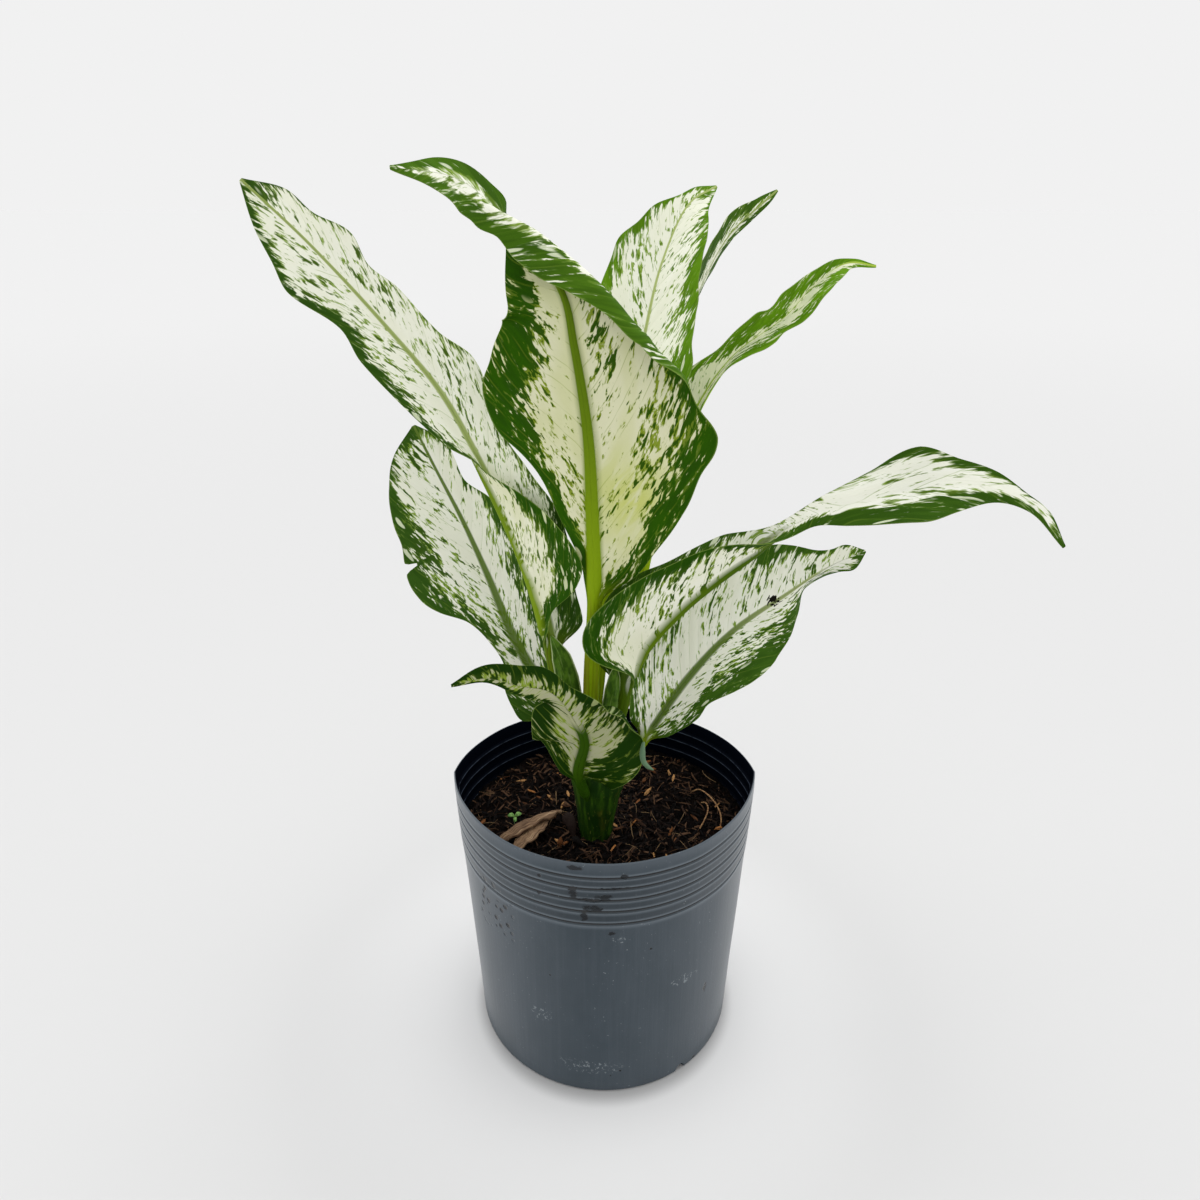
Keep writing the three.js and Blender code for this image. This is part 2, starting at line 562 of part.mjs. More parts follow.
const plant = new THREE.Group();
function addPiece(name, geometry, [color, roughness]) {
  geometry.computeVertexNormals();
  const material = new THREE.MeshStandardMaterial({ color, roughness, metalness: 0 });
  material.name = name;
  const mesh = new THREE.Mesh(geometry, material);
  mesh.name = name;
  plant.add(mesh);
}

// Pot, with a drain notch cut through the corner of its base at three places.
let pot = solid(potGeometry());
for (const degrees of DRAIN_ANGLES) {
  const angle = radians(degrees);
  const notch = new THREE.CylinderGeometry(DRAIN_RADIUS, DRAIN_RADIUS, DRAIN_LENGTH, DRAIN_SIDES);
  notch.rotateZ(-Math.PI / 2);
  notch.rotateY(Math.PI / 4);
  notch.translate(BASE_RADIUS, 0, 0);
  notch.rotateZ(angle);
  pot = pot.subtract(solid(notch));
}
addPiece('pot', fromSolid(pot), POT_FINISH);

// Soil, with its shreds of bark and with room for the stalk and the chip of wood.
const stalkHole = loftRings(STALK.slice(0, STALK_BURIED).map(([x, y, z, radius], i) => (
  circleRing([x, y, i === 0 ? z - CLEAR : z, radius + CLEAR], STALK_SIDES))));
const chipGrown = CHIP.map(([share, halfWidth, halfHeight]) => [
  mix(-CLEAR_SHARE, 1 + CLEAR_SHARE, share), halfWidth + CLEAR, halfHeight + CLEAR]);
const soilBodies = wasm.Manifold.union([soilGeometry(), ...shredGeometries()].map(solid))
  .subtract(solid(stalkHole))
  .subtract(solid(barGeometry(CHIP_FROM, CHIP_TO, chipGrown, CHIP_SIDES)))
  .decompose();
const soil = soilBodies.reduce((best, body) => (body.volume() > best.volume() ? body : best));
addPiece('soil', fromSolid(soil), SOIL_FINISH);
addPiece('wood_chip', barGeometry(CHIP_FROM, CHIP_TO, CHIP, CHIP_SIDES), CHIP_FINISH);

// Stalk, with a pocket in its crown for the foot of each leaf's stem.
let stalk = solid(loftRings(STALK.map((row) => circleRing(row, STALK_SIDES))));
for (const leaf of Object.values(LEAVES)) {
  stalk = stalk.subtract(solid(leafGeometry(leaf, leaf.blade, CLEAR)));
}
addPiece('stalk', fromSolid(stalk), STALK_FINISH);

for (const [name, leaf] of Object.entries(LEAVES)) {
  addPiece(name, leafGeometry(leaf), leaf.upper > 0 ? LEAF_UPPER_FINISH : LEAF_UNDER_FINISH);
}

export default plant;
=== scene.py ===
# The looks of a young dieffenbachia in a soft plastic nursery pot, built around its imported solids.
import math
import random

import bpy
import numpy as np
from mathutils import Matrix, Vector, noise


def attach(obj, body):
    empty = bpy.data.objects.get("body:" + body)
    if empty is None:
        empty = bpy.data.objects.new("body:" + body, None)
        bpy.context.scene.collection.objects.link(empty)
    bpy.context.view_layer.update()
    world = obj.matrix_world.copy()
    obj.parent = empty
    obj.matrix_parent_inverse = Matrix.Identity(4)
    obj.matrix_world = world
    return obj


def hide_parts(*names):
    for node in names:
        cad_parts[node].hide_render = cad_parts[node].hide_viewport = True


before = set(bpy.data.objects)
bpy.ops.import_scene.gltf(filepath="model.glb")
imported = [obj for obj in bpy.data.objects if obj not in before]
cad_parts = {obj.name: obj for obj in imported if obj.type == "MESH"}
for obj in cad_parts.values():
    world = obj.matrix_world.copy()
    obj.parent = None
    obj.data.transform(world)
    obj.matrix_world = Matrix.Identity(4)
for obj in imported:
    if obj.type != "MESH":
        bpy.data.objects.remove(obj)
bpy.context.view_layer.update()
MM = 0.001


# Leaf surface: the living skin of the blades, cream with green flecks along the lateral veins and
# a green margin. It is one material that reads what each blade's own points say of their place.
def paint(code):
    """A colour in linear light, from its hex code."""
    parts = [int(code[i:i + 2], 16) / 255 for i in (1, 3, 5)]
    return tuple(p / 12.92 if p <= 0.04045 else ((p + 0.055) / 1.055) ** 2.4 for p in parts)


class Value:
    """One output of a material's nodes. Sums with it add Math nodes."""

    def __init__(self, surface, socket):
        self.surface = surface
        self.socket = socket

    def math(self, operation, *values):
        return self.surface.add("ShaderNodeMath", {"operation": operation}, values)

    def __add__(self, other):
        return self.math("ADD", self, other)

    def __sub__(self, other):
        return self.math("SUBTRACT", self, other)

    def __mul__(self, other):
        return self.math("MULTIPLY", self, other)

    def __truediv__(self, other):
        return self.math("DIVIDE", self, other)

    def __rsub__(self, other):
        return self.math("SUBTRACT", other, self)

    def __rtruediv__(self, other):
        return self.math("DIVIDE", other, self)

    __radd__ = __add__
    __rmul__ = __mul__

    def power(self, exponent):
        return self.math("POWER", self, exponent)

    def size(self):
        return self.math("ABSOLUTE", self)

    def sine(self):
        return self.math("SINE", self)

    def most(self, other):
        return self.math("MAXIMUM", self, other)

    def step(self, low, high):
        """0 below low, 1 above high, and smooth between them."""
        settings = {"interpolation_type": "SMOOTHSTEP"}
        return self.surface.add("ShaderNodeMapRange", settings, {0: self, 1: low, 2: high})

    def mix(self, low, high):
        """The colour low where this is 0 and high where it is 1."""
        settings = {"data_type": "RGBA"}
        return self.surface.add("ShaderNodeMix", settings, {0: self, 6: low, 7: high}, 2)

    def times(self, *factors):
        """A vector with each axis multiplied by its factor."""
        settings = {"operation": "MULTIPLY"}
        return self.surface.add("ShaderNodeVectorMath", settings, (self, factors))

    def axes(self):
        node = self.surface.add("ShaderNodeSeparateXYZ", {}, (self,)).socket.node
        return [Value(self.surface, node.outputs[i]) for i in range(3)]

    def noise(self, scale, detail, roughness, swirl=0.0):
        sockets = {"Vector": self, "Scale": scale, "Detail": detail, "Roughness": roughness,
                   "Distortion": swirl}
        return self.surface.add("ShaderNodeTexNoise", {}, sockets, "Fac")

    def cells(self, scale):
        """Distance from the middle of the nearest of many scattered cells."""
        sockets = {"Vector": self, "Scale": scale}
        return self.surface.add("ShaderNodeTexVoronoi", {}, sockets, "Distance")


class Surface:
    """A material in the making."""

    def __init__(self, name, **finish):
        self.material = bpy.data.materials.new(name)
        self.material.use_nodes = True
        self.tree = self.material.node_tree
        self.shader = self.tree.nodes["Principled BSDF"]
        for socket, value in finish.items():
            self.shader.inputs[socket.replace("_", " ")].default_value = value

    def put(self, socket, value):
        if isinstance(value, Value):
            self.tree.links.new(value.socket, socket)
        elif isinstance(value, (tuple, list)) and socket.type == "RGBA":
            socket.default_value = (*value, 1)
        else:
            socket.default_value = value

    def add(self, kind, settings, sockets, output=0):
        node = self.tree.nodes.new(kind)
        for key, value in settings.items():
            setattr(node, key, value)
        pairs = sockets.items() if isinstance(sockets, dict) else enumerate(sockets)
        for key, value in pairs:
            self.put(node.inputs[key], value)
        return Value(self, node.outputs[output])

    def attribute(self, name):
        return self.add("ShaderNodeAttribute", {"attribute_name": name}, (), "Vector")

    def place(self):
        return self.add("ShaderNodeTexCoord", {}, (), "Object")

    def bump(self, height, depth):
        """A bump of that depth in metres, where height goes from 0 to 1."""
        sockets = {"Height": height, "Strength": 1.0, "Distance": depth}
        return self.add("ShaderNodeBump", {}, sockets, "Normal")

    def finish(self, **sockets):
        for name, value in sockets.items():
            self.put(self.shader.inputs[name.replace("_", " ")], value)


def layered(colour, *coats):
    """The colour with coats of (mask, colour) laid over it, one after the other."""
    for mask, coat in coats:
        colour = mask.mix(colour, coat)
    return colour


CREAM_UPPER = paint("#f7f8ec")
CREAM_UNDER = paint("#e0e0be")
CREAM_SHADE = paint("#cbcf92")
CREAM_STAIN = paint("#c3ca68")
CREAM_IN_SHADE = paint("#8d9066")
OLIVE_UPPER = paint("#86a33c")
OLIVE_UNDER = paint("#8d9f30")
GREEN_UPPER = paint("#375819")
GREEN_GLOWING = paint("#5f8c14")
GREEN_UNDER = paint("#2b5504")
GREEN_DARK = paint("#1c3a08")
GREEN_IN_SHADE = paint("#0e2204")
RIB_BASE = paint("#5a7326")
RIB_PALE = paint("#b3bf80")
RIB_UNDER = paint("#7c980c")
RIB_UNDER_HIGH = paint("#4f6b0a")
RIB_DARK = paint("#2a4a08")
RIB_GLOWING = paint("#9ab52e")
PETIOLE = paint("#84a010")
PETIOLE_BROWN = paint("#6a5c12")
MARGIN_HIGHLIGHT = paint("#8fa850")
BLEMISH = paint("#15140e")
FLECK_THICK = 2.2 * MM
FLECK_LONG = 7.5 * MM
SPOT = 2.1 * MM
HOLE_SPACING = 9.5 * MM
PATCH = 20 * MM
VEIN_SPACING = 6.5 * MM

leaf_skin = Surface("leaf_skin", Specular_IOR_Level=0.02, Emission_Strength=0.5)
vein_place = leaf_skin.attribute("vein")
foot, _, seed = vein_place.axes()
cover, under, rib = leaf_skin.attribute("cover").axes()
half_share, blade_share, bladeness = leaf_skin.attribute("part").axes()
# darkness: partly the leaf's own tone, partly painted shade on blades and folds in shade
darkness, glow, green_share = leaf_skin.attribute("tone").axes()
blemish, warmth, rib_reach = leaf_skin.attribute("flaw").axes()
# warm: how yellow the underside is, partly its own colour and partly painted light through the blade
warm = under * warmth
soft, stain, dim = leaf_skin.attribute("wash").axes()
through, _, _ = leaf_skin.attribute("light").axes()
fleck_noise = vein_place.times(1 / FLECK_THICK, 1 / FLECK_LONG, 1).noise(1, 3, 0.6, 0.7)
spot_noise = vein_place.times(1 / SPOT, 1 / (1.5 * SPOT), 1).noise(1, 2, 0.5, 0.6)
patch_noise = vein_place.times(1 / PATCH, 1 / PATCH, 1).noise(1, 2, 0.5)
tone_noise = vein_place.times(0.5 / FLECK_THICK, 0.5 / FLECK_LONG, 3).noise(1, 2, 0.6, 0.5)
veins = (foot * (math.pi / VEIN_SPACING) + patch_noise * 2).sine().size()
vein_line = (1 - veins.step(0, 0.14)) * tone_noise.step(0.4, 0.6)
grain = fleck_noise * 0.56 + spot_noise * 0.44 + (patch_noise - 0.5) * 0.36 + vein_line * 0.03
above = grain - cover
holes = vein_place.times(1 / HOLE_SPACING, 0.8 / HOLE_SPACING, 1).cells(1)
holes = 1 - (holes - tone_noise * 0.32).step(-0.02, 0.03)
holes = holes * green_share.step(0.6, 0.8) * patch_noise.step(0.42, 0.48)
wash = above.step(-0.04, 0.004)
fleck = (above.step(-0.008, 0.01) * (1 - soft) + above.step(-0.05, 0.07) * soft) * (1 - holes)
core = (above + (tone_noise - 0.5) * 0.3 - 0.02).step(0.0, 0.04)
dense = green_share.step(0.35, 0.85)
cream = layered(
    warm.mix(CREAM_UPPER, CREAM_UNDER),
    ((1 - patch_noise.step(0.36, 0.6)) * (0.12 + warm * 0.4), CREAM_SHADE),
    (stain * tone_noise.step(0.3, 0.55), CREAM_STAIN),
    # painted light: light from behind turns the cream yellow
    (through * 1.2, CREAM_SHADE),
    # painted shade: dim darkens the cream of blades that lie in shade
    (dim, CREAM_IN_SHADE),
)
olive = warm.mix(OLIVE_UPPER, OLIVE_UNDER)
green = layered(
    # painted light: light coming through the green brightens it
    glow.mix(GREEN_UPPER, GREEN_GLOWING),
    (under, GREEN_UNDER),
    # painted shade on blades that lie in shade, deepest on the darkest
    (darkness * 0.7, GREEN_DARK),
    (darkness.step(0.6, 1.0) * 0.6, GREEN_IN_SHADE),
    ((1 - core) * (1 - dense * 0.7) * (0.8 + soft * 0.2), olive),
    (soft * (1 - dense) * 0.6, olive),
    (core * (1 - dense) * 0.35, GREEN_DARK),
    (dense * tone_noise.step(0.42, 0.62) * 0.3, GREEN_DARK),
    (dense * (1 - veins.step(0.03, 0.25)) * tone_noise.step(0.4, 0.6) * 0.2, olive),
)
rib_skin = layered(
    under.mix(
        (blade_share - rib_reach).step(0.0, 0.5).mix(RIB_BASE, RIB_PALE),
        blade_share.step(0.0, 0.55).mix(RIB_UNDER, RIB_UNDER_HIGH)),
    (darkness, RIB_DARK),
    # painted light: light from behind makes the midrib glow
    (through * 2.4, RIB_GLOWING),
)
petiole_brown = vein_place.times(14, 420, 1).noise(1, 3, 0.6)
at_foot = 1 - foot.step(20 * MM, 60 * MM)
petiole = layered(
    PETIOLE,
    (petiole_brown.step(0.55, 0.72) * 0.55, PETIOLE_BROWN),
    (at_foot * petiole_brown.step(0.4, 0.6) * 0.6, PETIOLE_BROWN),
    (darkness * 1.6, RIB_DARK),
    (vein_place.times(40, 900, 1).noise(1, 3, 0.6).step(0.5, 0.75) * 0.4, RIB_DARK),
)
skin = layered(
    cream,
    ((wash * 0.45).most(vein_line * 0.5), olive),
    (fleck, green),
    # painted highlight: a pale line of light along the thin margin
    (half_share.step(0.985, 1.0) * 0.5, MARGIN_HIGHLIGHT),
    (rib, rib_skin),
    (1 - bladeness, petiole),
    ((blemish + (spot_noise - 0.5) * 2).step(0.62, 0.68), BLEMISH),
)
relief = veins * (0.5 - under) * 0.9 + fleck_noise * 0.3 + spot_noise * 0.35
leaf_skin.finish(
    Base_Color=skin,
    # painted glow: the blade gives off its own colour, standing in for light through it from behind
    Emission_Color=through.mix((0, 0, 0), skin),
    Roughness=0.42 + fleck_noise * 0.16,
    Normal=leaf_skin.bump(relief, 0.45 * MM),
)


# Leaves: nine blades, each one grown sheet on a round stem. Each starts as a flat grid that is
# extruded to a sheet, and its points are then laid along the leaf's route, folded and waved.
# Lengths are in millimetres, and shares go from 0 to 1 along the route, the blade or a half of it.
FRONT = np.array([0, -0.909, 0.417])  # towards the camera
BLADE_ROOT = 0.07  # share of the blade in which the round stem turns into it
STEM_ROUND = math.radians(82)
FOOT_SHARE = 0.4  # the stem starts this thin, as a share of its radius
FOOT_LENGTH = 0.06
RIB_TIP = 0.7  # radius of the midrib at the tip
RIB_REACH = 1.15  # half width of the midrib, in radii of the stem
RIB_MOST = 0.4  # the most that the midrib takes of a half
RIB_FADE = 0.2  # share of the blade in which the midrib runs out
UPPER_RIB_RISE = 0.12  # how far the midrib stands out on the upper face, against the lower one
SKIN_MIDDLE = 0.9  # how thick the sheet is
SKIN_EDGE = 0.4
RUFFLE_SIZE = 0.012
RUFFLE_COUNT = 11
STEM_STATIONS = 16
BLADE_STATIONS = 150
HALF_COLUMNS = 26
RIB_COLUMNS = 6
# route: the middle of stem and blade. blade: the share of the route where the blade starts. stem:
# radius of its foot. upper: 1 where the upper face looks to the front, else -1. left, right: rows of
# [share of the blade, half width, angle at the midrib, angle at the margin, share of the half where
# the bend starts, share where it ends, lean along the blade]. wave: size, count and phase.
ROW_DEFAULTS = (0, 0, 0, 0, 0, 1, 0)
LEAVES = {
    "leaf_left_tall": dict(
        route=[(-20, -20, 226), (-26, -23, 262), (-35, -27, 319), (-45, -31, 358), (-62, -38, 404),
               (-80, -46, 447), (-101, -55, 479), (-130, -66, 517), (-152, -78, 543)],
        blade=0.19, stem=5, upper=1,
        left=[(0, 6, 20, 60), (0.055, 8, 30, 90, 0, 0.4), (0.11, 12, 30, 130, 0, 0.3),
              (0.16, 30, 30, 150, 0, 0.16), (0.22, 38, 30, 154, 0, 0.16), (0.36, 17, 30, 148, 0, 0.2),
              (0.44, 7, 30, 90, 0, 0.4), (0.5, 13, 20, 30), (0.58, 18.5, 10), (0.7, 20), (0.76, 16.5),
              (0.85, 22), (0.9, 17), (0.95, 11), (1, 0.8)],
        right=[(0, 14, -20, -30, 0, 1, -0.5), (0.06, 22, -20, -30, 0, 1, -0.35),
               (0.12, 22, -15, -20, 0, 1, -0.1), (0.2, 25, -10, -10), (0.3, 26, 0, 10),
               (0.4, 21, 10, 25), (0.48, 19, 15, 35), (0.6, 25, 15, 35), (0.66, 18, 20, 30),
               (0.75, 16, 15, 20), (0.8, 13, 10, 20), (0.85, 17, 10, 20), (0.9, 11), (0.95, 10),
               (1, 0.8)],
        wave=(0.05, 3.5, 0.5),
    ),
    "leaf_centre": dict(
        route=[(-9, -26, 226), (-8, -32, 279), (-6, -40, 334), (-7, -46, 383), (-9, -52, 429),
               (-15, -62, 473), (-20, -72, 498), (-39, -88, 524), (-57, -104, 542), (-80, -123, 546.5)],
        blade=0.28, stem=5, upper=-1,
        left=[(0, 5), (0.1, 7), (0.2, 16.5), (0.3, 27), (0.4, 43), (0.5, 46), (0.55, 38.5, 0, -8),
              (0.6, 31, 0, -12), (0.65, 28.5, 0, -15), (0.7, 22, 0, -15), (0.76, 8, -60, -80),
              (0.8, 9, -140, -150), (0.84, 9, -150, -160), (0.88, 9, -160, -165),
              (0.92, 7.5, -165, -170), (0.96, 4, -170, -175), (1, 0.8, -175, -175)],
        right=[(0, 5), (0.06, 20), (0.1, 29), (0.2, 48), (0.28, 56), (0.35, 65, 0, 20, 0.7),
               (0.4, 60, 0, 60, 0.7), (0.45, 57, 0, 110, 0.75), (0.5, 49, 0, 160, 0.68),
               (0.55, 43, 0, 170, 0.6), (0.6, 37, 0, 172, 0.48, 0.96), (0.65, 32, 5, 174, 0.28, 0.78),
               (0.7, 30, 5, 174, 0.14, 0.64), (0.76, 25, 5, 175, 0.07, 0.52),
               (0.8, 14.5, 30, 176, 0.05, 0.45), (0.84, 12, 120, 176, 0, 0.3), (0.88, 12, 172, 176),
               (0.92, 9, 174, 176), (0.96, 4, 176, 176), (1, 0.8, 176, 176)],
        wave=(0.04, 3, 0),
    ),
    "leaf_lower_left": dict(
        route=[(-18, -9, 214), (-37, -4, 255), (-55, 2, 288), (-71, 12, 327), (-85, 20, 358),
               (-101, 28, 389), (-113, 34, 413)],
        blade=0.1, stem=4.5, upper=1,
        left=[(0, 5, 20), (0.06, 21, 20), (0.12, 23, 15), (0.19, 21, 10), (0.25, 14, 10),
              (0.32, 15, 5), (0.4, 22), (0.46, 36), (0.52, 44), (0.6, 46), (0.7, 40, 0, -5),
              (0.8, 37, 0, -10), (0.88, 30, 0, -10), (0.95, 18), (1, 1)],
        right=[(0, 5, 20, 30), (0.1, 18, 30, 40), (0.3, 25, 30, 45), (0.6, 29, 30, 40),
               (0.7, 25, 20, 30), (0.79, 13, 15, 20), (0.87, 13, 10), (0.9, 13), (0.95, 9), (1, 1)],
        wave=(0.05, 3, 1),
    ),
    "leaf_upper_middle": dict(
        route=[(-7, -4, 228), (4, 6, 339), (13, 20, 414), (23, 36, 467), (32, 48, 502),
               (47, 60, 532), (63, 70, 541)],
        blade=0.4, stem=4, upper=1,
        left=[(0, 5), (0.12, 24), (0.5, 36, -10, -10), (0.62, 31, -5, -10), (0.7, 29, 0, -10),
              (0.75, 27.5), (0.8, 20.5), (0.85, 16), (0.9, 7.5), (0.95, 5), (1, 0.8)],
        right=[(0, 5, 40, 40), (0.12, 20, 40, 40), (0.45, 39, 30, 55), (0.55, 34, 25, 55),
               (0.65, 29, 25, 50), (0.75, 26.5, 25, 45), (0.85, 18.5, 20, 30), (0.92, 11, 10, 10),
               (1, 0.8)],
        wave=(0.05, 4, 0.5),
    ),
    "leaf_behind_right": dict(
        route=[(4, -1, 230), (21, 20, 359), (39, 50, 448), (57, 70, 489), (73, 82, 515),
               (103, 100, 539)],
        blade=0.5, stem=4, upper=1,
        left=[(0, 5, 80, 80), (0.2, 18, 80, 82), (0.5, 22, 80, 84), (0.7, 15, 74, 76),
              (0.8, 11, 55, 55), (0.9, 5, 40, 30), (0.96, 3), (1, 0.8)],
        right=[(0, 5, -84, -86), (0.2, 18, -84, -86), (0.5, 20, -84, -88), (0.7, 12, -82, -86),
               (0.8, 8, -70, -75), (0.9, 4, -40, -40), (0.96, 2.5), (1, 0.8)],
        wave=(0.05, 3, 0),
    ),
    "leaf_upper_right": dict(
        route=[(9, -10, 228), (27, 10, 350), (52, 26, 422), (73, 36, 452), (103, 46, 473),
               (120, 52, 490), (138, 58, 501), (157, 64, 499)],
        blade=0.45, stem=4, upper=1,
        left=[(0, 5), (0.2, 22, 0, 30, 0.5), (0.33, 18, 10, 60, 0.4), (0.42, 14, 30, 75, 0.2),
              (0.55, 18, 50, 70), (0.6, 14, 50, 70), (0.68, 16, 50, 65), (0.77, 11, 50, 60),
              (0.85, 6, 40, 50), (0.9, 2.5, 30, 30), (0.95, 2), (1, 0.8)],
        right=[(0, 5, 85, 85), (0.2, 20, 85, 90), (0.4, 20, 75, 80), (0.47, 18, 65, 65),
               (0.55, 18, 55, 60), (0.6, 14.5, 55, 60), (0.66, 16, 40, 55), (0.76, 17, 50, 60),
               (0.81, 14, 50, 60), (0.86, 8, 30, 40), (0.91, 3.5), (1, 0.8)],
        wave=(0.05, 3, 0),
    ),
    "leaf_right_long": dict(
        route=[(5, -25, 222), (8, -28, 252), (18, -34, 296), (41, -44, 332), (72, -56, 365),
               (96, -66, 388), (130, -80, 406), (166, -96, 417), (190, -106, 411), (206, -112, 393)],
        blade=0.14, stem=5, upper=1,
        left=[(0, 5, -15, -20), (0.05, 22, -15, -20, 0, 1, -0.2), (0.15, 33, -15, -20),
              (0.22, 30, -15, -20), (0.28, 24, -15, -20), (0.4, 17, -15, -20), (0.5, 5), (0.6, 8.5),
              (0.67, 13), (0.75, 19.5, 5, 15), (0.8, 12), (0.85, 8), (0.9, 3.5), (0.95, 3.5),
              (1, 0.8)],
        right=[(0, 6, 20, 60, 0, 1, 0.2), (0.055, 17, 30, 100, 0, 0.35, 0.55),
               (0.11, 41, 30, 146, 0, 0.16, 0.02), (0.2, 39, 30, 155, 0, 0.13, 0.04),
               (0.3, 27, 30, 158, 0, 0.16, 0.03), (0.42, 15, 30, 150, 0, 0.22),
               (0.5, 8, 30, 80, 0, 0.4), (0.56, 5, 20, 20), (0.62, 10.5, 10, 30), (0.68, 16, 10, 50),
               (0.75, 20, 10, 55), (0.8, 14.5, 5, 40), (0.86, 6), (0.92, 3), (1, 0.8)],
        wave=(0.05, 3, 0),
    ),
    "leaf_lower_right": dict(
        route=[(8, -12, 196), (29, -8, 230), (53, 0, 263), (80, 8, 291), (112, 14, 313),
               (138, 18, 330), (159, 20, 339)],
        blade=0.14, stem=4.5, upper=1,
        left=[(0, 5, 30, 20), (0.06, 21, 48, 38), (0.12, 28, 42, 24), (0.3, 36, 8), (0.5, 40),
              (0.7, 31), (0.76, 30), (0.81, 23), (0.86, 13), (0.9, 9), (0.95, 8), (1, 0.8)],
        right=[(0, 5, 20, 20), (0.1, 15, 20, 10), (0.18, 20.5, 20, 10), (0.25, 20.5, 20, 15),
               (0.35, 28, 20, 20), (0.45, 32, 15, 20), (0.55, 30), (0.65, 24, -10, -10),
               (0.7, 20, -30, -40), (0.77, 16, -70, -75), (0.85, 12, -65, -65), (0.9, 9, -40, -50),
               (0.95, 8, -10, -10), (1, 0.8)],
        wave=(0.04, 4, 0),
    ),
    "leaf_front_small": dict(
        route=[(-11, -30, 191), (-16, -43, 221), (-12, -51, 248), (-17, -58, 267), (-30, -67, 291),
               (-46, -74, 299), (-63, -80, 307), (-80, -86, 306)],
        blade=0.14, stem=3.5, upper=-1,
        left=[(0, 5), (0.06, 10), (0.12, 16), (0.22, 27, 0, 0, 0, 1, 0.1), (0.3, 28, 0, 0, 0, 1, 0.35),
              (0.38, 14, -10, -20, 0, 1, 1.8), (0.45, 9, -20, -30, 0, 1, 1.6),
              (0.5, 7.5, -10, -20, 0, 1, 1.2), (0.58, 7, 0, 0, 0, 1, 0.5), (0.66, 7), (0.83, 3),
              (1, 0.8)],
        right=[(0, 5), (0.06, 18, 0, 20, 0.3, 1, -0.6), (0.12, 27, 0, 25, 0.3, 1, -0.25),
               (0.2, 34, 0, 30, 0.3), (0.28, 35, 0, 40, 0.4), (0.38, 34, 0, 130, 0.6),
               (0.47, 19, 0, 60, 0.3), (0.56, 9), (0.68, 12), (0.85, 8), (1, 0.8)],
        wave=(0.05, 3, 0),
    ),
}
# How each blade is coloured; two values are for its left and right half. margins: where the green
# margin starts, as rows of [share of the blade, share of the half]. flecks: how much of the cream
# they take. slants: how far the lateral veins run ahead for each step outward. stretch: how short the
# flecks are. dark: how dark midrib, leaf stem and green are, partly their own tone and partly painted
# shade on blades that lie in shade. glow: how much of the light that comes through the green is
# painted into it. warm: how yellow the underside is, partly its own colour and partly painted light
# that comes through it. rib: the share of the blade where the midrib is still green, and the share
# where it ends. soft: how washed out the flecks are. slant_tip and soft_tip: a share of the blade, and
# what slant or softness turns to from there. fold_dark: rows of [share of the blade, added painted
# shade where the blade folds over]. clearing, stain and rot: a place and its reach.
NO_SPOT = ((0, 0, 0), 1)
PLAIN = dict(
    fleck_size=1,  # how large the flecks are
    tip_flecks=0,  # how many more flecks there are near the tip
    slant_tip=(1, 0),
    soft_tip=(1, 0),
    dim=0,  # how far painted shade darkens the cream
    through=0,  # how far painted light from behind brightens and yellows the blade, as a glow
    rib_wide=1,  # how broad the midrib is
    fold_dark=((0, 0), (1, 0)),
    clearing=NO_SPOT,  # where the blade has few flecks
    stain=NO_SPOT,  # where the cream is yellow
    rot=NO_SPOT,  # where it is black
    tears=(),  # tears in the left margin, as a share of the blade and a depth
)
